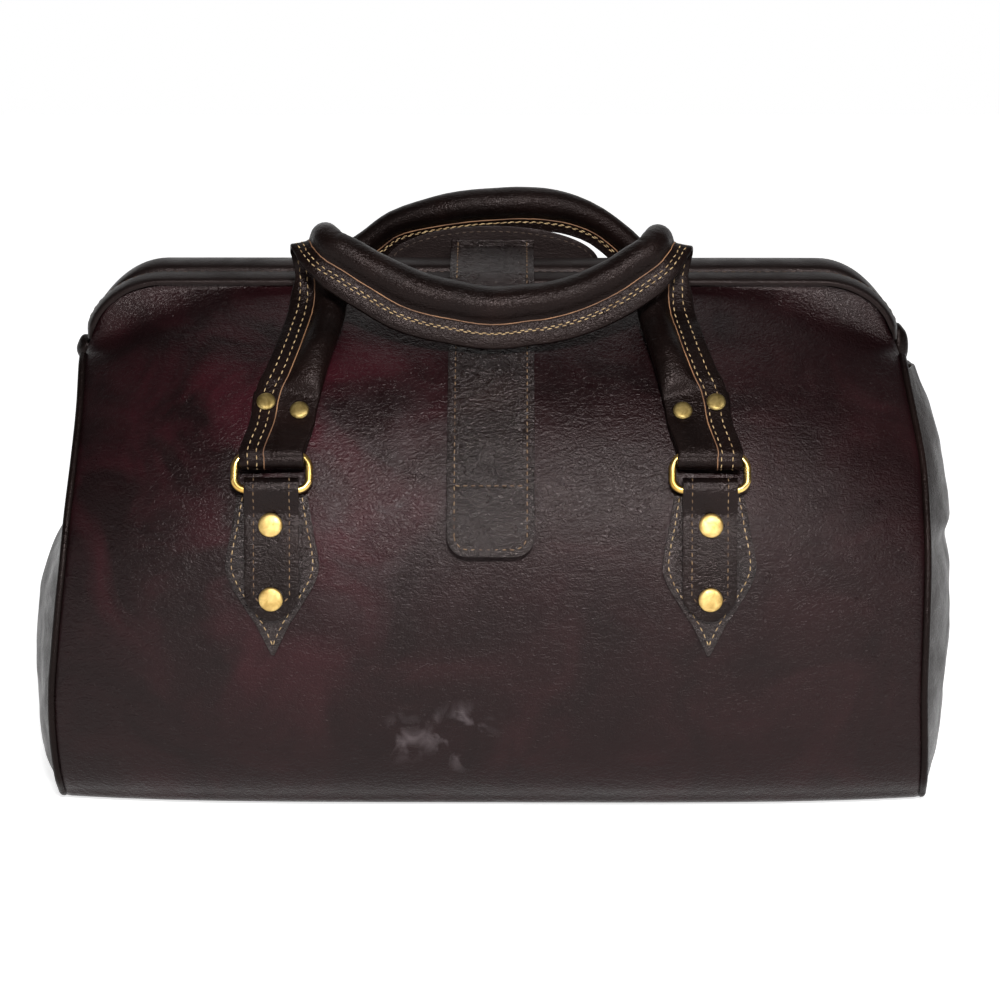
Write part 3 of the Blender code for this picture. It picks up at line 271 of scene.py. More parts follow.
dark_thread = plain_fibre("dark_thread", (0.022, 0.012, 0.008), (0.070, 0.042, 0.026), 0.75,
                          90.0, 0.4)
thread = plain_fibre("tan_thread", (0.25, 0.155, 0.070), (0.52, 0.37, 0.19), 0.7, 260.0, 0.4)
dull_thread = plain_fibre("worn_thread", (0.075, 0.040, 0.020), (0.24, 0.150, 0.075), 0.75,
                          90.0, 0.4)
raw_edge = plain_fibre("raw_leather_edge", (0.11, 0.050, 0.024), (0.31, 0.155, 0.072), 0.6,
                       60.0, 0.6)
lining = plain_fibre("suede_lining", (0.050, 0.031, 0.022), (0.085, 0.055, 0.040), 0.95,
                     900.0, 0.5)
fibre_board = plain_fibre("fibre_board", (0.13, 0.095, 0.06), (0.22, 0.16, 0.105), 0.9,
                          500.0, 0.4)


def metal(name, low, high, roughness, scale, strength):
    made, tree, shader = new_material(name)
    patina = noise_of(tree, object_coords(tree), scale, 5.0, 0.5)
    wire(tree, shader, {"Base Color": ramp(tree, patina, ((0.35, low), (0.62, high))),
                        "Roughness": spread(tree, patina, roughness + 0.15, roughness),
                        "Normal": bump(tree, patina, strength, 0.0004), "Metallic": 1.0})
    return made


brass = metal("ring_brass", (0.55, 0.32, 0.07), (0.80, 0.55, 0.18), 0.22, 70.0, 0.05)
rivet_brass = metal("rivet_brass", (0.46, 0.30, 0.095), (0.72, 0.51, 0.19), 0.42, 240.0, 0.35)
aged_brass = metal("aged_brass", (0.15, 0.105, 0.034), (0.34, 0.25, 0.095), 0.42, 260.0, 0.35)
steel = metal("steel_strip", (0.25, 0.25, 0.26), (0.42, 0.42, 0.43), 0.32, 120.0, 0.1)
print("metals:", brass.name, rivet_brass.name, aged_brass.name, steel.name)

# %% [markdown]
# ## The shape of the bag
#
# From the side the bag is a loaf: a flat bottom, an upright lower wall, a shoulder and a slope up
# to the mouth. At its ends the loaf is slimmer and lower. Two profiles are enough, one at the
# middle and one at the ends, with a smooth curve through each and a blend between them along the
# length. Every leather piece is laid on this one surface, so all of them fit each other.

# %% The two profiles
HALF_DEPTH = 0.115
HEIGHT = 0.270
SEAM_X = 0.2195
PIPING_RADIUS = 0.0022
HAIR = 0.0003
MIDDLE_SHARES = (
    (0.003, 0.000), (0.680, 0.000), (0.830, 0.030), (0.920, 0.095), (0.974, 0.222),
    (1.000, 0.389), (0.983, 0.519), (0.922, 0.630), (0.800, 0.741), (0.635, 0.833),
    (0.443, 0.907), (0.280, 0.957),
)
END_SHARES = (
    (0.003, 0.000), (0.574, 0.000), (0.713, 0.028), (0.787, 0.089), (0.826, 0.215),
    (0.822, 0.370), (0.765, 0.496), (0.643, 0.604), (0.487, 0.704), (0.350, 0.778),
    (0.236, 0.837), (0.142, 0.876),
)
WIDENING_POWER = 4.0
FRAME_HALF_LENGTH = 0.2165
FRAME_TOP = 0.2705
CORNER_WIDE = 0.041
CORNER_HIGH = 0.034
TOP_DROP = 0.0012
TOP_DEPTH = 0.0163


def frame_corner(turn, inset):
    """X and Z on the mouth's corner, from the top at turn 0 to the arm at a right angle."""
    return (FRAME_HALF_LENGTH - CORNER_WIDE + (CORNER_WIDE - inset) * math.sin(turn),
            FRAME_TOP - CORNER_HIGH + (CORNER_HIGH - inset) * math.cos(turn))


def profile_points():
    edge = SEAM_X - PIPING_RADIUS - HAIR
    middle = [Vector((0.0, d * HALF_DEPTH, h * HEIGHT)) for d, h in MIDDLE_SHARES]
    ends = [Vector((edge, d * HALF_DEPTH, h * HEIGHT)) for d, h in END_SHARES]
    arm_x, arm_z = frame_corner(math.pi / 2, TOP_DROP)
    ends[-1] = Vector((arm_x, ends[-1].y, arm_z))
    for depth, drop, turn in ((TOP_DEPTH + TOP_DROP, 2 * TOP_DROP, math.pi / 4),
                              (TOP_DEPTH, 0.0, 0.0)):
        middle.append(Vector((0.0, depth, FRAME_TOP - TOP_DROP - drop)))
        x, z = frame_corner(turn, TOP_DROP)
        ends.append(Vector((x, TOP_DEPTH, z)))
    return middle, ends


MIDDLE, ENDS = profile_points()
LAST = len(MIDDLE) - 1.0


def curve_at(points, t):
    """A smooth curve through the points, read at t, which counts the points."""
    k = min(max(int(t), 0), len(points) - 2)
    b, c = points[k], points[k + 1]
    a = points[k - 1] if k else 2 * b - c
    d = points[k + 2] if k + 2 < len(points) else 2 * c - b
    s = t - k
    return 0.5 * (2 * b + (c - a) * s + (2 * a - 5 * b + 4 * c - d) * s ** 2
                  + (3 * b - a - 3 * c + d) * s ** 3)


def read_table(table, value):
    """Reads a smooth curve through pairs of numbers, such as a height and a width."""
    places, values = zip(*table)
    k = min(max(bisect_right(places, value) - 1, 0), len(table) - 2)
    share = (value - places[k]) / (places[k + 1] - places[k])
    return curve_at(values, k + min(max(share, 0.0), 1.0))


def slope_normal(points, t):
    run = curve_at(points, min(t + 0.15, LAST)) - curve_at(points, max(t - 0.15, 0.0))
    return Vector((0.0, run.z, -run.y)).normalized()


def on_bag(side, x, t, lift=0.0):
    """A point of the bag's outside and its normal.

    The side is -1 in front and 1 behind. t counts the profile's points, from 0 at the seam under
    the bag to LAST at the mouth.
    """
    middle, end = curve_at(MIDDLE, t), curve_at(ENDS, t)
    share = min(1.0, abs(x) / end.x) ** WIDENING_POWER
    base = middle.lerp(end, share)
    normal = slope_normal(MIDDLE, t).lerp(slope_normal(ENDS, t), share).normalized()
    point = Vector((x, base.y, base.z)) + normal * lift
    return Vector((x, side * point.y, point.z)), Vector((0.0, side * normal.y, normal.z))


def find_height(height_at, z, low, high):
    """Where a rising curve has the height z, by halving the stretch again and again."""
    for _ in range(30):
        half = (low + high) / 2
        if height_at(half) < z:
            low = half
        else:
            high = half
    return (low + high) / 2


@lru_cache(maxsize=None)
def t_at(x, z):
    """Where the outside has that height."""
    return find_height(lambda t: on_bag(1, x, t)[0].z, z, 1.0, LAST)


print("waist at", [round(c, 3) for c in on_bag(-1, 0.0, 5.0)[0]])

# %% [markdown]
# A full bag spreads at its foot. The seams at its ends lean out a little towards the floor, more
# at one end than at the other, so a table for each end gives how far, in millimetres by height.

# %% How far the end seams lean out
SPREADS = {
    -1: ((0.0, 8.0), (0.022, 10.0), (0.042, 11.0), (0.062, 10.8), (0.082, 9.0), (0.106, 6.6),
         (0.129, 4.2), (0.157, 2.2), (0.181, 0.4), (0.205, -0.6), (0.235, 0.0), (0.300, 0.0)),
    1: ((0.0, 9.5), (0.030, 8.5), (0.062, 7.2), (0.095, 7.5), (0.129, 8.2), (0.160, 8.2),
        (0.181, 7.4), (0.205, 4.0), (0.225, 1.0), (0.240, 0.0), (0.300, 0.0)),
}


def end_spread(end, z):
    return read_table(SPREADS[end], z) / 1000


print("seams lean out", [round(end_spread(end, 0.05), 4) for end in (-1, 1)])

# %% [markdown]
# ## From a flat grid to a leather piece
#
# A piece of leather starts flat, so each one starts as a grid from `bmesh.ops.create_grid`. A
# function then says where each point of the flat piece goes on the bag. A Solidify modifier gives
# it the thickness of its hide, with the lining or the raw edge as other materials, and a Bevel
# modifier rounds the cut edges.


# %% Helpers for leather sheets and lofts
def add_piece(name, bm, materials, body, smooth_angle=50, node=None):
    """Turns a bmesh into a finished object that rides on a body and stands for a CAD node."""
    mesh = bpy.data.meshes.new(name)
    bm.to_mesh(mesh)
    bm.free()
    mesh.shade_smooth()
    if smooth_angle:
        mesh.set_sharp_from_angle(angle=math.radians(smooth_angle))
    for finish in materials:
        mesh.materials.append(finish)
    piece = add_object(name, mesh)
    if body:
        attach(piece, body)
    if node:
        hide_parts(node)
    return piece


def ball(around, high):
    bm = bmesh.new()
    bmesh.ops.create_uvsphere(bm, u_segments=around, v_segments=high, radius=1.0)
    return bm


def shaped_grid(across, along, place, facing):
    """A grid whose point (u, v), both from 0 to 1, goes to place(u, v)."""
    bm = bmesh.new()
    bmesh.ops.create_grid(bm, x_segments=across, y_segments=along, size=0.5)
    for vert in bm.verts:
        vert.co = place(vert.co.x + 0.5, vert.co.y + 0.5)
    bm.normal_update()
    if sum((face.normal * face.calc_area() for face in bm.faces), Vector()).dot(facing) < 0:
        bmesh.ops.reverse_faces(bm, faces=bm.faces)
    return bm


def add_hide(name, node, body, materials, grid, thickness, offset=-1.0, inner=0, rim=0,
             edge=0.0005):
    """A shaped grid with a thickness, other materials inside and at the rim, and a round edge."""
    piece = add_piece(name, shaped_grid(*grid), materials, body, node=node)
    for name, kind, settings in (
            ("hide", "SOLIDIFY", {"thickness": thickness, "offset": offset,
                                  "use_even_offset": True, "material_offset": inner,
                                  "material_offset_rim": rim}),
            ("edge", "BEVEL", {"width": edge, "segments": 2, "limit_method": "ANGLE",
                               "angle_limit": math.radians(55)})):
        modifier = piece.modifiers.new(name, kind)
        for key, value in settings.items():
            setattr(modifier, key, value)
    return piece


def loft(rings, closed=False):
    """Wraps a flat grid round the rings, joins its long edges and caps the ends of an open one."""
    rows = rings + rings[:1] if closed else rings
    sides, last = len(rows[0]), len(rows) - 1
    bm = bmesh.new()
    bmesh.ops.create_grid(bm, x_segments=sides, y_segments=last, size=0.5)
    for vert in bm.verts:
        column, row = round((vert.co.x + 0.5) * sides), round((vert.co.y + 0.5) * last)
        vert.co = rows[row][column % sides]
    bmesh.ops.remove_doubles(bm, verts=bm.verts, dist=1e-7)
    if not closed:
        bmesh.ops.holes_fill(bm, edges=[edge for edge in bm.edges if edge.is_boundary], sides=0)
    bmesh.ops.recalc_face_normals(bm, faces=bm.faces)
    return bm


def tube(path, radius, sides, closed=False, out=None):
    """A tube along a path; its section stays square to the path without twisting."""
    rings = []
    count = len(path)
    for k, point in enumerate(path):
        after = path[(k + 1) % count] if closed else path[min(k + 1, count - 1)]
        before = path[k - 1] if closed else path[max(k - 1, 0)]
        tangent = (after - before).normalized()
        lead = out[k] if out else Vector((1.0, 0.0, 0.0))
        across = (lead - tangent * lead.dot(tangent)).normalized()
        up = tangent.cross(across)
        rings.append([point + (across * math.cos(a) + up * math.sin(a)) * radius
                      for a in [2 * math.pi * i / sides for i in range(sides)]])
    return loft(rings, closed)


def walked(points):
    """How long a path is up to each of its points."""
    lengths = [0.0]
    for a, b in zip(points, points[1:]):
        lengths.append(lengths[-1] + (b - a).length)
    return lengths


def step_at(lengths, s):
    """The step of a path that holds the length s, and the share of that step."""
    k = min(bisect_right(lengths, s), len(lengths) - 1) - 1
    return k, (s - lengths[k]) / (lengths[k + 1] - lengths[k])


# %% [markdown]
# ## Stitches
#
# A seam is a row of short threads, each sunk a little at both ends. Each one here is a stretched
# ball of a few dozen faces. `along` walks a path in steps of the stitch length, so the pitch stays
# the same on long and short pieces.


# %% Helpers for stitches
STITCH_PITCH = 0.0040
STITCH_LENGTH = 0.0027
THREAD_RADIUS = 0.00033


def along(row, pitch):
    """The middle, direction and normal of each even step along a row of places and normals."""
    left = pitch / 2
    for (a, normal), (b, _) in zip(row, row[1:]):
        length = (b - a).length
        if length < 1e-9:
            continue
        way = (b - a) / length
        while left < length:
            yield a + way * left, way, normal
            left += pitch
        left -= length


def one_stitch():
    """Points and faces of a ball with a radius of 1, which every stitch is stretched from."""
    bm = ball(6, 5)
    points = [vert.co.copy() for vert in bm.verts]
    faces = [[vert.index for vert in face.verts] for face in bm.faces]
    bm.free()
    return points, faces


BALL_POINTS, BALL_FACES = one_stitch()


def sew(name, rows, body, finish=thread, pitch=STITCH_PITCH, length=STITCH_LENGTH,
        radius=THREAD_RADIUS):
    """One object for all the stitches of a piece; a row is a list of places with their normals."""
    bm = bmesh.new()
    count = 0
    for row in rows:
        for spot, way, normal in along(row, pitch):
            side = way.cross(normal).normalized()
            up = side.cross(way)
            lean = (way + side * 0.10 * math.sin(count * 1.7)).normalized()
            verts = [bm.verts.new(spot + lean * p.x * length / 2 + side * p.y * radius
                                  + up * p.z * radius) for p in BALL_POINTS]
            for face in BALL_FACES:
                bm.faces.new([verts[k] for k in face])
            count += 1
    add_piece(name, bm, [finish], body, 0)
    print(name, count, "stitches")


# %% [markdown]
# ## The two big panels
#
# Each panel is one hide, from the seam under the bag to the mouth. The leather isn't flat between
# its seams: it swells and dips a little, and shows fine creases where it bends at the shoulder.
# These are real moves of the surface, inwards only, and they fade out under the straps.

# %% Panels
PANEL_HIDE = 0.0022
SEAM_TUCK = 0.0014
CHAPE_X = 0.1124
EDGE_ROLL = 0.0035
FORWARD = Vector((0.0, -1.0, 0.0))
SIDES = (("front", -1), ("rear", 1))
BAG_ENDS = (("left", -1), ("right", 1))
CORNERS = [(f"{word}_{end_word}", word, side, end)
           for (word, side), (end_word, end) in product(SIDES, BAG_ENDS)]


def wave(x, y, z):
    """Smooth noise between about -1 and 1."""
    return noise.noise(Vector((x, y, z)))


def fade(value, start, stop):
    """0 up to the start, 1 from the stop on, and smooth between them."""
    share = min(1.0, max(0.0, (value - start) / (stop - start)))
    return share * share * (3 - 2 * share)


def free_of_straps(side, x, z):
    """0 under the chapes, the handles' ends and the strap, and 1 away from them."""
    chape = max(fade(abs(abs(x) - CHAPE_X), 0.026, 0.042), fade(z, 0.225, 0.24))
    chape = max(chape, 1 - fade(z, 0.075, 0.09))
    strap = 1.0 if side > 0 else max(fade(abs(x), 0.024, 0.070), 1 - fade(z, 0.090, 0.132))
    return chape * strap


def relief(side, x, t, z):
    """How far the leather lies inside the plain surface."""
    slow = 0.5 + 0.5 * wave(x * 8.0, side * 2.0, z * 10.0)
    crease = 0.5 + 0.5 * wave(x * 70.0 + z * 30.0, side * 5.0, z * 130.0)
    band = fade(z, 0.06, 0.13) * (1 - fade(z, 0.20, 0.25))
    depth = 0.0007 * slow + 0.00028 * crease * band
    return -depth * fade(t, 1.2, 2.4) * (1 - fade(t, 11.0, 12.0))


def build_panel(word, side):
    def place(u, v):
        t = LAST * v
        edge = curve_at(ENDS, t)
        half = edge.x + end_spread(-1 if u < 0.5 else 1, edge.z) + SEAM_TUCK
        x = half * (2 * u - 1)
        plain_x = x * edge.x / half
        point, _ = on_bag(side, plain_x, t)
        sink = relief(side, x, t, point.z) * free_of_straps(side, x, point.z)
        tuck = 1 - fade(half - abs(x), 0.0, EDGE_ROLL)
        sink = sink * fade(half - abs(x), 0.0, 0.02) - 0.0008 * tuck ** 2 * fade(t, 1.0, 1.6)
        spot = on_bag(side, plain_x, t, sink)[0]
        return Vector((x, spot.y, spot.z))

    return add_hide(word + "_panel_leather", word + "_panel", None,
                    [burgundy, lining, black_brown], (150, 120, place, Vector((0.0, side, 0.4))),
                    PANEL_HIDE, inner=1, rim=2, edge=0.0006)


front_panel = build_panel("front", -1)
rear_panel = build_panel("rear", 1)
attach(rear_panel, "bag")
print("panels:", len(front_panel.data.polygons), "faces each")

# %% [markdown]
# The front panel has to give when the mouth opens. Here `give` only bakes its transform, and those
# of the front pipings and the gussets, in place; they ride on no body.


def give(piece):
    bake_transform(piece)


give(front_panel)

# %% [markdown]
# ## Piping and gussets
#
# A cord wrapped in leather is sewn into each end seam, so the seam reads as a thin round edge. The
# gusset between the two seams is soft: on the left it is folded in above the waist, and on the
# right it bulges out with a crease across the middle.

# %% Piping
PIPING_PROUD = 0.0010
SEAM_TOP_T = 10.0
PIPING_TOP_T = 10.6


def seam_point(side, end, t):
    point = curve_at(ENDS, t)
    rise = min(1.0, point.z / (5 * PIPING_RADIUS))
    point = point - slope_normal(ENDS, t) * (PIPING_RADIUS - PIPING_PROUD * rise)
    x = SEAM_X + end_spread(end, point.z)
    return Vector((end * x, side * max(point.y, HAIR), max(point.z, PIPING_RADIUS)))


for prefix, _, side, end in CORNERS:
    path = [seam_point(side, end, PIPING_TOP_T * k / 90) for k in range(91)]
    path.insert(0, Vector((path[0].x, side * -0.0002, path[0].z)))
    piping = add_piece(prefix + "_piping_cord", tube(path, PIPING_RADIUS, 14), [black_brown], None,
                       node=prefix + "_piping")
    if side < 0:
        give(piping)
    else:
        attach(piping, "bag")
print("four pipings, radius", PIPING_RADIUS)

# %% Gussets
GUSSET_BULGE = 0.030
GUSSET_HIDE = 0.0020
BULGE_POWER = 2.2
GUSSET_TUCK = 0.0024
GUSSET_DROP = 0.0012
LEFT_BULGE_SHARES = (
    (0.018, 0.58), (0.075, 0.88), (0.22, 0.95), (0.33, 0.93), (0.44, 0.72), (0.52, 0.38),
    (0.58, 0.00), (0.70, -0.46), (0.79, -0.27), (0.84, 0.00),
)
RIGHT_BULGE_SHARES = (
    (0.018, 0.62), (0.075, 0.80), (0.22, 0.95), (0.33, 1.00), (0.44, 0.95), (0.505, 0.83),
    (0.54, 0.95), (0.65, 0.84), (0.75, 0.60), (0.84, 0.26),
)


def end_depth(z):
    """Half depth of the gusset at a height; its edges are tucked into the piping."""
    t = find_height(lambda share: curve_at(ENDS, share).z, z, 1.0, SEAM_TOP_T + 1)
    clear = 2 * (PIPING_RADIUS + HAIR) / max(slope_normal(ENDS, t).y, 0.3)
    return curve_at(ENDS, t).y - clear + GUSSET_TUCK


def build_gusset(word, end, shares):
    low = 2 * PIPING_RADIUS - GUSSET_DROP
    high = END_SHARES[10][1] * HEIGHT - GUSSET_HIDE

    def place(u, v):
        z = low + (high - low) * v
        w = 2 * u - 1
        shape = 1 - abs(w) ** BULGE_POWER
        bulge = read_table(shares, z / HEIGHT) * GUSSET_BULGE
        folds = wave(w * 2.2, z * 26.0, end * 4.0) * 0.0022
        folds += wave(w * 5.0, z * 80.0, end * 9.0) * 0.0007
        x = SEAM_X + GUSSET_HIDE / 2 + end_spread(end, z) * (1 - shape)
        x += (bulge + folds - 0.001) * shape
        return Vector((end * x, w * end_depth(z), z))

    give(add_hide(word + "_gusset_leather", word + "_gusset", None,
                  [black_brown, lining], (70, 110, place, Vector((end, 0.0, 0.0))), GUSSET_HIDE,
                  inner=1))


build_gusset("left", -1, LEFT_BULGE_SHARES)
build_gusset("right", 1, RIGHT_BULGE_SHARES)

# %% [markdown]
# ## The mouth
#
# Each half of the steel frame is hidden in a leather sleeve. The rear one is broad and rounded,
# the front one a narrow strip with a row of stitches. The sleeves follow a U: along the top and
# round both corners down to the hinges. A grid with one side along the U and the other round the
# strip gives the whole sleeve in one piece.

# %% The path of the mouth
SLEEVE_HIDE = 0.0016
SLEEVE_LAST_TURN = math.radians(86)
SLEEVE_MIDDLES = {-1: -0.0125, 1: 0.0070}
MOUTH_Y = -0.0058
CROWN_LEFT_SHARES = {-1: 0.80, 1: 0.30}


def half_mouth():
    """Places and outward ways along half of the U, from its middle to its end."""
    spots = [(Vector((0.0, 0.0, FRAME_TOP)), Vector((0.0, 0.0, 1.0)))]
    for k in range(49):
        turn = SLEEVE_LAST_TURN * k / 48
        x, z = frame_corner(turn, 0.0)
        out = Vector((math.sin(turn) / CORNER_WIDE, 0.0, math.cos(turn) / CORNER_HIGH))
        spots.append((Vector((x, 0.0, z)), out.normalized()))
    return spots


MOUTH_SPOTS = half_mouth()
MOUTH_LENGTHS = walked([spot for spot, _ in MOUTH_SPOTS])


def mouth_at(u):
    """Place and outward way along the U; u runs from the left end to the right end."""
    k, share = step_at(MOUTH_LENGTHS, abs(2 * u - 1) * MOUTH_LENGTHS[-1])
    point, out = [a.lerp(b, share) for a, b in zip(MOUTH_SPOTS[k], MOUTH_SPOTS[k + 1])]
    if u < 0.5:
        point.x, out.x = -point.x, -out.x
    return point, out.normalized()


def crown_at(side, out):
    """How much of the strip's crown is left where the U turns down to the hinge."""
    left = CROWN_LEFT_SHARES[side]
    return left + (1 - left) * max(0.0, out.z) ** 6


def sleeve_section(side):
    """The strip's outside from the wall on the panel to the mouth: rise and Y."""
    if side < 0:
        y = MOUTH_Y - HAIR
        return ((-0.0020, -0.0188), (0.0000, -0.0187), (0.0017, -0.0172), (0.0033, -0.0135),
                (0.0041, -0.0098), (0.0041, -0.0074), (0.0028, y), (-0.0030, y), (-0.0095, y))
    y = MOUTH_Y + HAIR
    return ((-0.0020, 0.0188), (0.0026, 0.0188), (0.0070, 0.0172), (0.0094, 0.0125),
            (0.0098, 0.0070), (0.0091, 0.0010), (0.0070, -0.0038), (0.0036, y), (-0.0030, y),
            (-0.0095, y))


def build_sleeve(word, side, body):
    section = [Vector((rise, y, 0.0)) for rise, y in sleeve_section(side)]

    def place(u, v):
        point, out = mouth_at(u)
        spot = curve_at(section, v * (len(section) - 1))
        rise = spot.x * crown_at(side, out) if spot.x > 0 else spot.x
        swell = wave(point.x * 14.0, side * 6.0, v * 3.0) * 0.0004
        closing = 0.45 + 0.55 * fade(min(u, 1 - u), 0.0, 0.018)
        y = SLEEVE_MIDDLES[side] + (spot.y - SLEEVE_MIDDLES[side]) * closing
        return point + out * ((rise - abs(swell)) * closing) + Vector((0.0, y, 0.0))

    add_hide(word + "_sleeve_leather", word + "_frame_cover", body,
             [smooth, lining], (190, 26, place, Vector((0.0, 0.0, 1.0))), SLEEVE_HIDE, inner=1)


build_sleeve("front", -1, "front_frame")
build_sleeve("rear", 1, "bag")

# %% Stitches along the front strip
places = []
for k in range(241):
    point, out = mouth_at(0.02 + 0.96 * k / 240)
    places.append((point + out * (0.0040 * crown_at(-1, out)) + FORWARD * 0.0092,
                   (out * 0.94 + FORWARD * 0.34).normalized()))
sew("front_strip_stitches", [places], "front_frame", dark_thread, 0.0046, 0.0030, 0.0003)

# %% [markdown]
# At each end of the mouth a small lump of leather covers the hinge. It is a flattened ball with
# shallow dents, so it is made from a sphere whose points are moved by slow noise.

# %% Hinge covers
COVER_START = 0.2150
COVER_HEIGHT = 0.0105
COVER_RADIUS = 0.0075
COVER_RAISES = {-1: 0.0002, 1: 0.0020}
COVER_HALF_HIGHS = {-1: 0.0078, 1: 0.0118}
HINGE_Z = 0.232

for end_word, end in BAG_ENDS:
    bm = ball(32, 20)
    for vert in bm.verts:
        p = vert.co.copy()
        dent = 1 + 0.09 * noise.noise(p * 1.6 + Vector((end, 0.0, 0.0)))
        x = COVER_START + COVER_HEIGHT * (0.42 + 0.56 * p.x * dent)
        vert.co = Vector((end * x, COVER_RADIUS * p.y * dent * 0.98,
                          HINGE_Z + COVER_RAISES[end] + COVER_HALF_HIGHS[end] * 0.97 * p.z * dent))
    bmesh.ops.recalc_face_normals(bm, faces=bm.faces)
    add_piece(end_word + "_hinge_lump", bm, [black_brown], "bag",
              node=end_word + "_hinge_cover")

# %% [markdown]
# ## The closure
#
# A half moon of leather stands behind the mouth. The strap is sewn to its front, bends over the
# mouth and hangs down the front, where a magnetic snap holds it. The strap's path is one smooth
# curve over the sleeves and down the panel, and the grid follows it. Its end is a rounded tongue.

# %% Yoke
YOKE_HALF = 0.058
YOKE_RISE = 0.0200
YOKE_HEM = 0.0070
YOKE_HIDE = 0.0022
YOKE_BASE = FRAME_TOP + 0.0060
YOKE_Y = 0.0202


def yoke_edge(turn, inset=0.0):
    """X and height on the half moon's arch; turn runs from -90 degrees to 90 degrees."""
    return ((YOKE_HALF - inset) * math.sin(turn),
            YOKE_BASE + (YOKE_RISE - inset) * math.cos(turn))


def place_yoke(u, v):
    x, top = yoke_edge(math.pi * (u - 0.5))
    low = YOKE_BASE - YOKE_HEM
    bow = 0.0006 * wave(u * 5.0, v * 2.0, 3.0)
    return Vector((x, YOKE_Y - YOKE_HIDE / 2 + bow * v, low + (top - low) * v))


add_hide("strap_yoke_leather", "strap_yoke", "bag", [smooth, black_brown],
         (60, 34, place_yoke, FORWARD), YOKE_HIDE)
arc = [yoke_edge(math.radians(a), 0.003) for a in range(-80, 81, 2)]
row = [(Vector((x, YOKE_Y - 0.0012, z)), FORWARD) for x, z in arc]
sew("yoke_stitches", [row], "bag", dark_thread)

# %% Strap
STRAP_HALF = 0.0225
STRAP_HIDE = 0.0022
STRAP_TIP_Z = 0.1390
STRAP_TIP_CORNER = 0.0105
STRAP_STITCH_X = 0.0187
SNAP_Z = 0.1500
LAY_GAP = 0.0005
SNAP_STACK = 0.0047
OVER_THE_MOUTH = ((0.0166, 0.2846), (0.0060, 0.2817), (-0.0042, 0.2794), (-0.0119, 0.2761),
                  (-0.0194, 0.2729))


def strap_path():
    """Middles of the strap's leather, from its bending line down to its tip."""
    points = [Vector((0.0, y, z)) for y, z in OVER_THE_MOUTH]
    tip, snap = t_at(0.0, STRAP_TIP_Z), t_at(0.0, SNAP_Z)
    steps = 24
    for k in range(steps + 1):
        t = 11.0 + (tip - 11.0) * k / steps
        near = min(1.0, max(0.0, (t - snap - 0.5) / 1.5))
        lift = SNAP_STACK + (LAY_GAP - SNAP_STACK) * near + STRAP_HIDE / 2
        points.append(on_bag(-1, 0.0, t, lift)[0])
    return [curve_at(points, k / 12) for k in range((len(points) - 1) * 12 + 1)]


STRAP_FINE = strap_path()
STRAP_LENGTHS = walked(STRAP_FINE)
STRAP_LENGTH = STRAP_LENGTHS[-1]


def strap_at(s):
    """Point and outward normal on the strap at a length from its bending line."""
    k, share = step_at(STRAP_LENGTHS, s)
    point = STRAP_FINE[k].lerp(STRAP_FINE[k + 1], share)
    run = (STRAP_FINE[min(k + 6, len(STRAP_FINE) - 1)] - STRAP_FINE[max(k - 5, 0)]).normalized()
    return point, Vector((0.0, run.z, -run.y))


def tongue(half, corner, left):
    """Half width of a strap at a length before its rounded end."""
    if left >= corner:
        return half
    return half - corner + math.sqrt(max(0.0, corner ** 2 - (corner - left) ** 2))


def place_strap(u, v):
    s = STRAP_LENGTH * (1 - (1 - v) ** 1.15)
    point, normal = strap_at(s)
    half = tongue(STRAP_HALF, STRAP_TIP_CORNER, STRAP_LENGTH - s)
    x = half * (2 * u - 1)
    dish = 0.0005 * (1 - (x / STRAP_HALF) ** 2) + 0.0003 * wave(x * 60, s * 60, 1)
    spot = point + normal * (STRAP_HIDE / 2 - 0.0004 + dish)
    return Vector((x, spot.y, spot.z))


add_hide("closure_strap_leather", "closure_strap", "closure_strap",
         [varnished, black_brown, black_brown], (34, 130, place_strap, Vector((0.0, -1.0, 0.3))),
         STRAP_HIDE, inner=1, rim=2)
print("strap length", round(STRAP_LENGTH, 4))

# %% Stitches of the strap
CROSS_ROW_Z = 0.1745


def on_strap(x, s, lift=-0.0001):
    """A place for a stitch on the strap's outside, and the normal there."""
    point, normal = strap_at(s)
    return Vector((x, point.y, point.z)) + normal * (STRAP_HIDE / 2 + lift), normal


rows = []
straight = STRAP_LENGTH - STRAP_TIP_CORNER - 0.001
for x in (-STRAP_STITCH_X, STRAP_STITCH_X):
    rows.append([on_strap(x, 0.001 + straight * k / 200) for k in range(201)])
inset, corner = STRAP_HALF - STRAP_STITCH_X, STRAP_TIP_CORNER - 0.003
places = []
for k in range(-40, 41):
    turn = math.pi / 2 * k / 40
    x = math.copysign(STRAP_STITCH_X - corner + corner * abs(math.sin(turn)), k) if k else 0.0
    places.append(on_strap(x, STRAP_LENGTH - inset - corner + corner * math.cos(turn)))
rows.append(places)
cross = STRAP_LENGTH
while strap_at(cross)[0].z < CROSS_ROW_Z:
    cross -= 0.0005
rows.append([on_strap(x / 1000, cross, 0.0002) for x in range(-19, 20)])
sew("strap_stitches", rows, "closure_strap", dull_thread)

# %% Sewn end of the strap
SEWN_LOW = 0.2848
SEWN_LENGTH = 0.0045
SEWN_Y = 0.0177


def place_sewn(u, v):
    return Vector((STRAP_HALF * (2 * u - 1), SEWN_Y - STRAP_HIDE / 2, SEWN_LOW + SEWN_LENGTH * v))


add_hide("strap_sewn_leather", "strap_sewn_end", "bag", [strap_leather, black_brown],
         (30, 6, place_sewn, FORWARD), STRAP_HIDE, edge=0.0003)
face_y = SEWN_Y - STRAP_HIDE / 2 - 0.0001
rows = [[(Vector((x, face_y, SEWN_LOW + z / 10000)), FORWARD) for z in range(0, 45, 4)]
        for x in (-STRAP_STITCH_X, STRAP_STITCH_X)]
sew("sewn_end_stitches", rows, "bag", dull_thread)

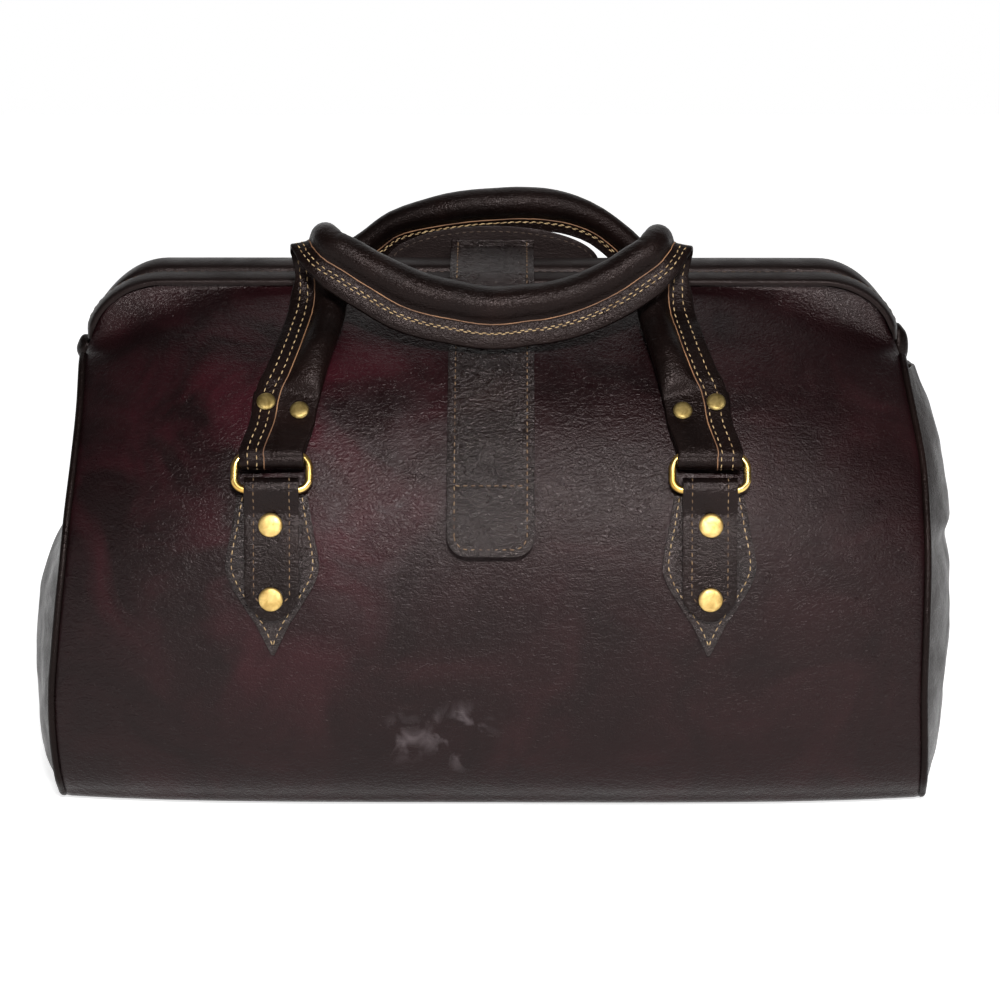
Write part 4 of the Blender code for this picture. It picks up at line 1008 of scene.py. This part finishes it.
# %% [markdown]
# ## Chapes, patches and rings
#
# A chape is a strap folded round the straight bar of a D ring. Both its layers lie on a pointed
# patch and are held by two rivets. The folded strip is one grid whose long side goes down the
# inside, round the bar and down the outside. The ring is a wire, bent and lofted into a loop.

# %% Patches
PATCH_HIDE = 0.0018
PATCH_TOP = 0.1690
PATCH_TIP = 0.0874
PATCH_HALF = 0.0241
PATCH_SHARES = ((0.0, 0.03), (0.195, 0.35), (0.337, 0.66), (0.47, 0.92), (0.577, 1.0),
                (0.795, 0.87), (1.0, 0.75))


def patch_half(share):
    return PATCH_HALF * read_table(PATCH_SHARES, share)


def beside(side, centre, z, lift, x=0.0):
    """A place and its normal beside a centre line on the bag, on the row of that height."""
    return on_bag(side, centre + x, t_at(centre, z), lift)


def build_patch(prefix, side, end):
    centre = end * CHAPE_X

    def at(x, share, raise_by=0.0):
        z = PATCH_TIP + (PATCH_TOP - PATCH_TIP) * share + raise_by
        return beside(side, centre, z, LAY_GAP + PATCH_HIDE, x)

    def place(u, v):
        return at(patch_half(v) * (2 * u - 1), v)[0]

    name = prefix + "_patch"
    add_hide(name + "_leather", name, "bag", [varnished, black_brown, black_brown],
             (22, 44, place, Vector((0.0, side, 0.0))), PATCH_HIDE, inner=1, rim=2, edge=0.0006)
    halves = [(k / 45, max(0.0006, patch_half(k / 45) - 0.0030)) for k in range(2, 45)]
    rows = [[at(sign * half, share, 0.0012) for share, half in halves] for sign in (-1, 1)]
    sew(name + "_stitches", rows, "bag")


# %% Chapes
CHAPE_HALF = 0.0140
CHAPE_HIDE = 0.0016
CHAPE_LOW = 0.1062
CHAPE_POINT = 0.0132
RIVET_Z = (0.1540, 0.1175)
CHAPE_RIVET = 0.0063
RING_Z = 0.1705
RING_WIRE = 0.0020
INNER_LIFT = LAY_GAP + PATCH_HIDE + HAIR + CHAPE_HIDE / 2
BEND_GAP = 0.00075
RING_LIFT = INNER_LIFT + CHAPE_HIDE / 2 + BEND_GAP + RING_WIRE + 0.0012


def wire_loop(side, centre, radius, raise_by, turns):
    """Points round a ring's bar, from the outside over the top to the panel's side."""
    middle, normal = beside(side, centre, RING_Z, RING_LIFT)
    up = Vector((0.0, -side * normal.z, side * normal.y))
    if up.z < 0:
        up = -up
    return [middle + up * raise_by + (up * math.cos(a) + normal * math.sin(a)) * radius
            for a in map(math.radians, turns)]


def chape_path(side, centre):
    outer = INNER_LIFT + CHAPE_HIDE + HAIR
    low, knee = t_at(centre, CHAPE_LOW), t_at(centre, RIVET_Z[0] + CHAPE_RIVET)
    radius = RING_WIRE + BEND_GAP + CHAPE_HIDE / 2
    rise = [low + (knee - low) * k / 8 for k in range(9)]
    return ([on_bag(side, centre, t, outer)[0] for t in rise]
            + wire_loop(side, centre, radius, 0.0, [125])
            + wire_loop(side, centre, radius, 0.0020, range(90, -91, -30))
            + [on_bag(side, centre, t, INNER_LIFT)[0] for t in rise[::-1]])


def pointed(share):
    """The width of a blunt point, from its tip at 0 to the full width at 1."""
    return 0.12 + 0.88 * math.sin(math.pi / 2 * min(1.0, share)) ** 0.75


def build_chape(prefix, side, end):
    centre = end * CHAPE_X
    points = chape_path(side, centre)
    count = len(points) - 1

    def place(u, v):
        point = curve_at(points, count * v)
        reach = min((point - points[0]).length, (point - points[-1]).length)
        return point + Vector((CHAPE_HALF * pointed(reach / CHAPE_POINT) * (2 * u - 1), 0.0, 0.0))

    name = prefix + "_chape"
    add_hide(name + "_leather", name, "bag", [strap_leather, black_brown],
             (16, 120, place, Vector((0.0, side, 0.0))), CHAPE_HIDE, 0.0, edge=0.0004)
    rows = []
    for sign in (-1, 1):
        places = []
        for k in range(4, 66):
            v = k / 120
            point, ahead = curve_at(points, count * v), curve_at(points, count * (v + 0.004))
            run = (ahead - point).normalized()
            normal = Vector((0.0, run.z, -run.y)) * side
            inward = 0.0048 + 0.0072 * (1 - fade(k, 2, 9))
            x = centre + sign * (CHAPE_HALF - inward)
            places.append((Vector((x, point.y, point.z)) + normal * (CHAPE_HIDE / 2 - 0.0001),
                           normal))
        rows.append(places)
    sew(name + "_stitches", rows, "bag", dull_thread)


# %% Rings
RING_HALF = 0.0192
RING_RISE = 0.0185
RING_TOP_LIFT = 0.0080
RING_CORNERS = ((1, 0.0075, 1, 0), (-1, 0.0075, 1, 90), (-1, 0.006, 0, 180), (1, 0.006, 0, 270))


def ring_frame(side, end):
    """Centre of the ring's bar, and the way from it to the ring's top."""
    centre = end * CHAPE_X
    bar, _ = beside(side, centre, RING_Z, RING_LIFT)
    top, _ = beside(side, centre, RING_Z + RING_RISE, RING_TOP_LIFT)
    return bar, Vector((0.0, top.y - bar.y, top.z - bar.z)).normalized()


def build_ring(prefix, word, side, end):
    bar, up = ring_frame(side, end)
    across = Vector((1.0, 0.0, 0.0))
    path = []
    for sign, radius, at_top, start in RING_CORNERS:
        z = RING_RISE - radius if at_top else radius
        for k in range(13):
            turn = math.radians(start + 7.5 * k)
            path.append(bar + across * (sign * (RING_HALF - radius) + radius * math.cos(turn))
                        + up * (z + radius * math.sin(turn)))
    bm = tube(path, RING_WIRE, 14, True, [across.cross(up)] * len(path))
    add_piece(prefix + "_ring_wire", bm, [brass], word + "_rings", 0, prefix + "_ring")


for prefix, word, side, end in CORNERS:
    build_patch(prefix, side, end)
    build_chape(prefix, side, end)
    build_ring(prefix, word, side, end)

# %% [markdown]
# ## Rivets
#
# A rivet is a domed cap with a thin rim, a shank through all the layers and a flat cap at the
# back. Its outline is a short chain of edges and `bmesh.ops.spin` turns it round the axis.


# %% Rivets
SHANK = 0.0020


def turned(profile, place, normal):
    bm = bmesh.new()
    verts = [bm.verts.new((radius, 0.0, height)) for radius, height in profile]
    edges = [bm.edges.new(pair) for pair in zip(verts, verts[1:])]
    bmesh.ops.spin(bm, geom=verts + edges, axis=(0, 0, 1), cent=(0, 0, 0), angle=2 * math.pi,
                   steps=28, use_merge=True)
    bmesh.ops.remove_doubles(bm, verts=bm.verts, dist=1e-6)
    bmesh.ops.recalc_face_normals(bm, faces=bm.faces)
    turn = Vector((0, 0, 1)).rotation_difference(normal).to_matrix().to_4x4()
    bmesh.ops.transform(bm, matrix=Matrix.Translation(place) @ turn, verts=bm.verts)
    return bm


def build_rivet(name, place, normal, radius, grip, finish, body):
    cap, back = radius * 0.32, radius * 0.14
    dome = [(radius * r, cap * h) for r, h in
            ((0.0, 0.92), (0.3, 0.91), (0.55, 0.87), (0.74, 0.80), (0.86, 0.66), (0.94, 0.48),
             (0.985, 0.30), (1.0, 0.12), (0.98, 0.0))]
    shank = [(SHANK, 0.0), (SHANK, -grip), (0.55 * radius, -grip),
             (0.6 * radius, -grip - back / 2), (0.55 * radius, -grip - back), (0.0, -grip - back)]
    add_piece(name + "_cap", turned(dome + shank, place, normal), [finish], body, 35, name)


CAP_LIFT = INNER_LIFT + 1.5 * CHAPE_HIDE + 3 * HAIR
for prefix, _, side, end in CORNERS:
    x = end * CHAPE_X
    for level, z in zip(("upper", "lower"), RIVET_Z):
        spot, flat = beside(side, x, z, 0.0)
        right, left = (beside(side, x, z, 0.0, reach)[0] for reach in (CHAPE_RIVET, -CHAPE_RIVET))
        along_x = (right - left).normalized()
        normal = (flat - along_x * flat.dot(along_x)).normalized()
        build_rivet(f"{prefix}_{level}_chape_rivet", spot + normal * CAP_LIFT, normal,
                    CHAPE_RIVET, CAP_LIFT + PANEL_HIDE + 2 * HAIR, rivet_brass, "bag")

# %% [markdown]
# ## Handles
#
# A handle is a strip of leather sewn round a cord. It leaves a flange beside the roll, with two
# rows of stitches and a raw edge. At its ends the roll fades out and the flat leather folds round
# the ring. All of this is one loft: stations along the handle say where its middle is, which way
# the flange points, how thick the roll is and how flat the section is.

# %% Stations of a handle
TAB_HALF = 0.0167
TAB_HIDE = 0.0022
TAB_GAP = 0.00065
TAB_RIVET_Z = 0.2088
TAB_PINCH_Z = 0.2028
TAB_RIVET_TILT_SHARE = 0.22
TAB_RIVET_SPREAD = 0.0087
TAB_RIVET = 0.0050
TAB_LIFT = 0.0044
TAB_BACK_Z = 0.2165
ROLL = 0.0082
FLANGE = 0.0135
FLANGE_HIDE = 0.0034
LEG_X_SHARES = (1.0, 0.957, 0.905, 0.872)
LEG_Z = (0.2345, 0.2480)
FRONT_GRIP_SHARES = (
    ((0.856, -0.365, 1.000), (1.00, 0.00, 0.00)), ((0.845, -0.348, 1.048), (1.00, 0.00, -0.12)),
    ((0.840, -0.409, 1.089), (0.95, 0.00, -0.30)), ((0.790, -0.504, 1.073), (0.84, -0.15, -0.52)),
    ((0.676, -0.535, 1.049), (0.68, -0.28, -0.68)), ((0.570, -0.548, 1.024), (0.50, -0.33, -0.80)),
    ((0.388, -0.557, 0.989), (0.34, -0.34, -0.88)), ((0.196, -0.564, 0.964), (0.18, -0.35, -0.92)),
    ((0.000, -0.566, 0.947), (0.00, -0.35, -0.94)),
)
REAR_GRIP_SHARES = (
    ((0.805, 0.470, 0.985), (-0.96, 0.00, -0.28)), ((0.712, 0.440, 1.018), (-0.80, 0.05, -0.60)),
    ((0.583, 0.418, 1.049), (-0.58, 0.10, -0.81)), ((0.405, 0.400, 1.080), (-0.35, 0.10, -0.93)),
    ((0.205, 0.386, 1.102), (-0.15, 0.10, -0.98)), ((0.000, 0.378, 1.110), (0.00, 0.10, -1.00)),
)
# By X: how far the grips sag, in millimetres, and how many times as thick their rolls are
SAGS = {
    -1: ((-0.0962, 0.0), (-0.085, 0.5), (-0.062, 1.0), (-0.046, 1.8), (-0.033, 1.5), (-0.017, 0.3),
         (0.0, -0.6), (0.017, 1.2), (0.027, 3.2), (0.046, 4.8), (0.059, 5.3), (0.072, 5.0),
         (0.085, 3.2), (0.0962, 0.6)),
    1: ((-0.092, 0.0), (-0.077, 4.5), (-0.0655, 3.5), (-0.053, -0.3), (-0.030, 0.0), (0.0, -0.4),
        (0.020, -2.6), (0.030, -3.8), (0.042, -4.5), (0.056, -3.5), (0.067, -0.3), (0.077, 3.5),
        (0.092, 0.0)),
}
SWELLS = {
    -1: ((-0.0962, 1.0), (-0.080, 1.08), (-0.062, 1.16), (-0.046, 1.28), (-0.033, 1.28),
         (-0.017, 1.25), (0.0, 1.24), (0.020, 1.19), (0.060, 1.12), (0.080, 1.06), (0.0962, 1.0)),
    1: ((-0.092, 1.0), (-0.077, 0.84), (-0.058, 0.80), (-0.040, 0.90), (-0.020, 1.02),
        (0.030, 1.02), (0.045, 0.92), (0.060, 0.82), (0.077, 0.86), (0.092, 1.0)),
}
# By height: how far the front handle's legs lean in, in millimetres
LEG_LEAN = ((0.213, 0.0), (0.2345, 3.4), (0.248, 5.0), (0.262, 5.8), (0.275, 4.2), (0.290, 0.8),
            (0.310, 0.0))
LEG_MIN_X = 0.088
GRIP_LOW_Z = 0.250
FLANGES = {-1: FLANGE, 1: 0.0062}  # how wide the flange of each handle is


def settled(side, point):
    """The place of a handle's middle after use: the grip sags and the legs lean together."""
    moved = point.copy()
    if abs(point.x) > LEG_MIN_X and point.z > LEG_LEAN[0][0] and side < 0:
        moved.x -= math.copysign(read_table(LEG_LEAN, point.z) / 1000, point.x)
    if point.z > GRIP_LOW_Z:
        moved.z -= read_table(SAGS[side], point.x) / 1000
    return moved


def tab_stations(side, end):
    """The folded end: up its back, round the ring and up its front."""
    lean = end * CHAPE_X * LEG_X_SHARES[1]
    bar, up = ring_frame(side, end)
    normal = Vector((0.0, side * abs(up.z), -side * abs(up.z) * up.y / up.z)).normalized()
    corner = RING_CORNERS[0][1]
    drop = corner - math.sqrt(corner ** 2 - (TAB_HALF - RING_HALF + corner) ** 2)
    low = bar + up * (RING_RISE - drop - 0.0008)
    radius = RING_WIRE + TAB_GAP + TAB_HIDE / 2
    loop = [low - (normal * math.cos(turn) + up * math.sin(turn)) * radius
            for turn in (math.pi * k / 5 for k in range(6))]
    high = bar + up * (RING_RISE + RING_WIRE)
    back, _ = beside(side, lean, TAB_BACK_Z, TAB_LIFT)
    pinch, facing = beside(side, lean, TAB_PINCH_Z, TAB_LIFT)
    return ([back, pinch, high - normal * radius] + loop
            + [high + normal * radius, pinch + facing * (TAB_HIDE + HAIR)])


def half_handle(side, end, grip, lifts, flange_sign):
    """Middle, flange way and flatness at the stations of one half."""
    way = Vector((end * flange_sign, 0.0, 0.0))
    stations = [(point, way, 1.0) for point in tab_stations(side, end)]
    flat_lift = TAB_LIFT + TAB_HIDE + HAIR
    for z, flat in ((0.2150, 1.0), (0.2220, 0.45)):
        climb = (z - TAB_RIVET_Z) / (LEG_Z[0] - TAB_RIVET_Z)
        x = end * CHAPE_X * (LEG_X_SHARES[1] + (LEG_X_SHARES[2] - LEG_X_SHARES[1]) * climb)
        lift = max(flat_lift, lifts[0]) * (1 - flat) + flat_lift * flat
        stations.append((beside(side, x, z, lift)[0], way, flat))
    for share, z, lift in zip(LEG_X_SHARES[2:], LEG_Z, lifts):
        x = end * CHAPE_X * share
        stations.append((beside(side, x, z, lift)[0], way, 0.0))
    for (x, y, z), flange in grip:
        stations.append((Vector((end * x * CHAPE_X, y * HALF_DEPTH, z * HEIGHT)),
                         Vector((end * flange[0], flange[1], flange[2])), 0.0))
    return stations


# %% The handle's section
ARC_POINTS = 19


def handle_section(roll, flat, flange):
    """Points across the handle: the roll, then the flange with its rounded edge."""
    mix = 1 - flat
    wide = roll * mix + (TAB_HALF - FLANGE / 2) * flat
    tall = roll * mix + TAB_HIDE / 2 * flat
    edge = (FLANGE_HIDE * mix + TAB_HIDE * flat) / 2
    middle = FLANGE / 2
    tip = wide - middle + flange * mix + FLANGE * flat
    points = []
    for k in range(ARC_POINTS):
        turn = math.radians(34 + 292 * k / (ARC_POINTS - 1))
        c, s = math.cos(turn), math.sin(turn)
        bend = 1.0 - 0.72 * flat
        points.append((-middle + wide * math.copysign(abs(c) ** (1 - 0.3 * flat), c),
                       tall * math.copysign(abs(s) ** bend, s)))
    root = -middle + wide
    under = [(root + 0.0002, edge * 1.25), (root + 0.0022, edge), (root + 0.007, edge),
             (tip - 0.0007, edge), (tip - 0.0001, edge * 0.6)]
    points += [(w, -n) for w, n in under] + under[::-1]
    return points, root, edge


# The share of a handle's length, and how far its two stitch rows lie from the roll in millimetres
ROW_PLACES = ((0.0, 2.5, 8.5), (0.30, 2.6, 8.3), (0.38, 4.2, 6.8), (0.5, 5.3, 5.8),
              (0.62, 4.2, 6.8), (0.70, 4.4, 8.8), (1.0, 4.3, 9.2))
FINE = 7  # steps of the path between two stations
TAB_STATIONS = 10  # stations whose section faces straight ahead, at either end
KNOT_X = -0.031


def handle_rows(share):
    k = min(bisect_right(ROW_PLACES, (share, math.inf)), len(ROW_PLACES) - 1) - 1
    (start, *near), (stop, *far) = ROW_PLACES[k:k + 2]
    return [(a + (b - a) * (share - start) / (stop - start)) / 1000 for a, b in zip(near, far)]


def build_handle(word, side, grip, lifts, flange_sign):
    right, left = (half_handle(side, end, grip, lifts, flange_sign) for end in (1, -1))
    centres, flanges, flats = zip(*(right + left[-2::-1]))
    count = (len(centres) - 1) * FINE
    path = [settled(side, curve_at(centres, k / FINE)) for k in range(count + 1)]
    lengths = walked(path)
    rings, raw, rows = [], ([], []), [[] for _ in range(4)]
    for k, point in enumerate(path):
        tangent = (path[min(k + 1, count)] - path[max(k - 1, 0)]).normalized()
        if min(k, count - k) < TAB_STATIONS * FINE:
            tangent = Vector((0.0, tangent.y, tangent.z)).normalized()
        flange = curve_at(flanges, k / FINE)
        across = (flange - tangent * flange.dot(tangent)).normalized()
        out = tangent.cross(across)
        flat = min(1.0, max(0.0, curve_at(flats, k / FINE)))
        bend = (path[min(k + 4, count)] - point).angle(point - path[max(k - 4, 0)], 0.0)
        pleat = 1 - 0.05 * min(1.0, bend * 1.5) * abs(math.sin(lengths[k] * 520)) * (1 - flat)
        swell = read_table(SWELLS[side], point.x) if point.z > GRIP_LOW_Z else 1.0
        tuck = 1 - 0.22 * fade(point.z, 0.262, 0.280) * fade(abs(point.x), 0.078, 0.090)
        section, root, edge = handle_section(ROLL * pleat * swell, flat, FLANGES[side] * tuck)
        rings.append([point + across * w + out * n for w, n in section])
        offsets = [row * FLANGES[side] / FLANGE for row in handle_rows(k / count)]
        for index, face in enumerate((-out, out)):
            raw[index].append(point + across * (root + 0.0006) + face * (edge * 1.12))
            for step, offset in enumerate(offsets):
                spot = point + across * (root + offset) + face * edge
                rows[2 * index + step].append((spot, face))
    name = word + "_handle"
    add_piece(name + "_leather", loft(rings), [black_brown], name, 60, name)
    for label, line in zip(("inner", "outer"), raw):
        bm = tube(line, 0.00034, 6, out=[Vector((0.3, 0.2, 0.93))] * len(line))
        add_piece(f"{name}_{label}_raw_edge", bm, [raw_edge], name, 0)
    sew(name + "_stitches", rows, name)
    if side > 0:
        knot = min(raw[0], key=lambda spot: abs(spot.x - KNOT_X))
        bm = ball(12, 8)
        for vert in bm.verts:
            p = vert.co * (1 + 0.5 * noise.noise(vert.co * 2.3))
            vert.co = knot + Vector((p.x * 0.0030, p.y * 0.0014, p.z * 0.0012))
        add_piece("thread_knot", bm, [thread], name, 0)
    for number, (end, sign) in enumerate(product((-1, 1), (-1, 1)), 1):
        lean, offset = end * CHAPE_X * LEG_X_SHARES[1], sign * TAB_RIVET_SPREAD
        z = TAB_RIVET_Z + TAB_RIVET_TILT_SHARE * offset * end
        spot, normal = beside(side, lean, z, TAB_LIFT + 1.5 * TAB_HIDE + 2 * HAIR)
        build_rivet(f"{name}_rivet_{number}", spot + Vector((offset, 0.0, 0.0)), normal, TAB_RIVET,
                    2 * TAB_HIDE + 4 * HAIR, aged_brass, name)
    print(name, "length", round(lengths[-1], 3))


build_handle("front", -1, FRONT_GRIP_SHARES, (0.0088, 0.0095), 1)
build_handle("rear", 1, REAR_GRIP_SHARES, (0.0100, 0.0115), -1)

# %% [markdown]
# ## Metal and board from the CAD model
#
# The frame's bars, the pins, the snap and the bottom board already have their real shapes, so
# they stay as they are and only get their finish.

# %% Finishes for the kept parts
for part in bpy.data.objects:
    if part.type != "MESH":
        continue
    for words, finish in ((("frame_bar", "hinge_pin"), steel), (("snap_",), aged_brass),
                          (("base_board",), fibre_board)):
        if any(word in part.name for word in words):
            for material_slot in part.material_slots:
                material_slot.material = finish
            print("finish of", part.name, "is", finish.name)

# %% [markdown]
# ## Floor and light
#
# The photograph is a cut-out on white, lit from the front and above. The floor and the backdrop
# are white to the camera but hardly light the bag. Its gloss sees the floor white, and of the
# backdrop only what is behind the bag.

# %% Floor and backdrop
WHITE = (1.0, 1.0, 1.0, 1.0)
SOFT_LIGHT = 0.06


def seen_directly(tree, share=None):
    """1 for rays from the camera, off gloss and through glass, and 0 for soft light.

    The share, if there is one, limits where gloss and glass show the backdrop.
    """
    path = add_node(tree, "LightPath", {})
    mirrored = joined(tree, "MAXIMUM", path["Is Glossy Ray"], path["Is Transmission Ray"])
    if share is not None:
        mirrored = joined(tree, "MULTIPLY", mirrored, share)
    return joined(tree, "MAXIMUM", path["Is Camera Ray"], mirrored)


bm = bmesh.new()
bmesh.ops.create_grid(bm, x_segments=1, y_segments=1, size=6.0)
floor_mesh = bpy.data.meshes.new("studio_floor")
bm.to_mesh(floor_mesh)
bm.free()
floor = add_object("studio_floor", floor_mesh)
floor.location.z = -0.0002
paper, tree, shader = new_material("pale_paper")
reach = add_node(tree, "VectorMath", {0: object_coords(tree)}, operation="LENGTH")["Value"]
glow = spread(tree, reach, 0.78, 1.0, 0.5, 1.5)
wire(tree, shader, {"Base Color": (0.80, 0.80, 0.80, 1.0), "Roughness": 0.9,
                    "Emission Color": WHITE,
                    "Emission Strength": spread(tree, seen_directly(tree), 0.0, glow, 0.0, 1.0)})
floor_mesh.materials.append(paper)

world = bpy.data.worlds.new("studio")
world.use_nodes = True
bpy.context.scene.world = world
tree = world.node_tree
heading = add_node(tree, "TexCoord", {})["Generated"]
backward = add_node(tree, "SeparateXYZ", {"Vector": heading})["Y"]
behind = spread(tree, backward, 0.0, 1.0, 0.45, 0.75)
strength = spread(tree, seen_directly(tree, behind), SOFT_LIGHT, 1.0, 0.0, 1.0)
wire(tree, tree.nodes["Background"], {"Color": WHITE, "Strength": strength})

# %% Lights
LIGHTS = (
    ("front_softbox", (0.12, -2.05, 1.20), (0.0, 0.0, 0.15), (0.34, 0.24), 54.0),
    ("right_softbox", (1.25, -1.55, 1.15), (0.15, 0.0, 0.15), (0.20, 0.25), 12.0),
    ("left_fill", (-1.7, -1.1, 0.75), (0.0, 0.0, 0.15), (0.3, 0.5), 2.5),
    ("top_softbox", (0.0, 0.6, 1.7), (0.0, 0.0, 0.2), (1.2, 0.5), 3.0),
)
for name, place, target, size, power in LIGHTS:
    data = bpy.data.lights.new(name, "AREA")
    data.shape = "RECTANGLE"
    data.size, data.size_y = size
    data.energy = power
    lamp = add_object(name, data)
    lamp.location = place
    lamp.rotation_euler = (Vector(target) - Vector(place)).to_track_quat("-Z", "Y").to_euler()
bpy.context.scene.view_settings.view_transform = "Standard"

# %% [markdown]
# The four large pieces of leather are sheets that were cut flat, then stretched over the board
# and the frame and sewn. The panels' cut is nearly a rectangle, the gussets' is narrow at the top.

# %% The sheets' flat sizes
SHEETS = (
    ("front_panel", (0.442, 0.404), 0.1785, ["base_board", "front_frame_bar"]),
    ("rear_panel", (0.442, 0.404), 0.1785, ["base_board", "rear_frame_bar"]),
    ("left_gusset", (0.205, 0.235), 0.0362, ["base_board"]),
    ("right_gusset", (0.205, 0.235), 0.0358, ["base_board"]),
)
for word, flat, area, under in SHEETS:
    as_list(under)
print("sheets:", len(SHEETS))
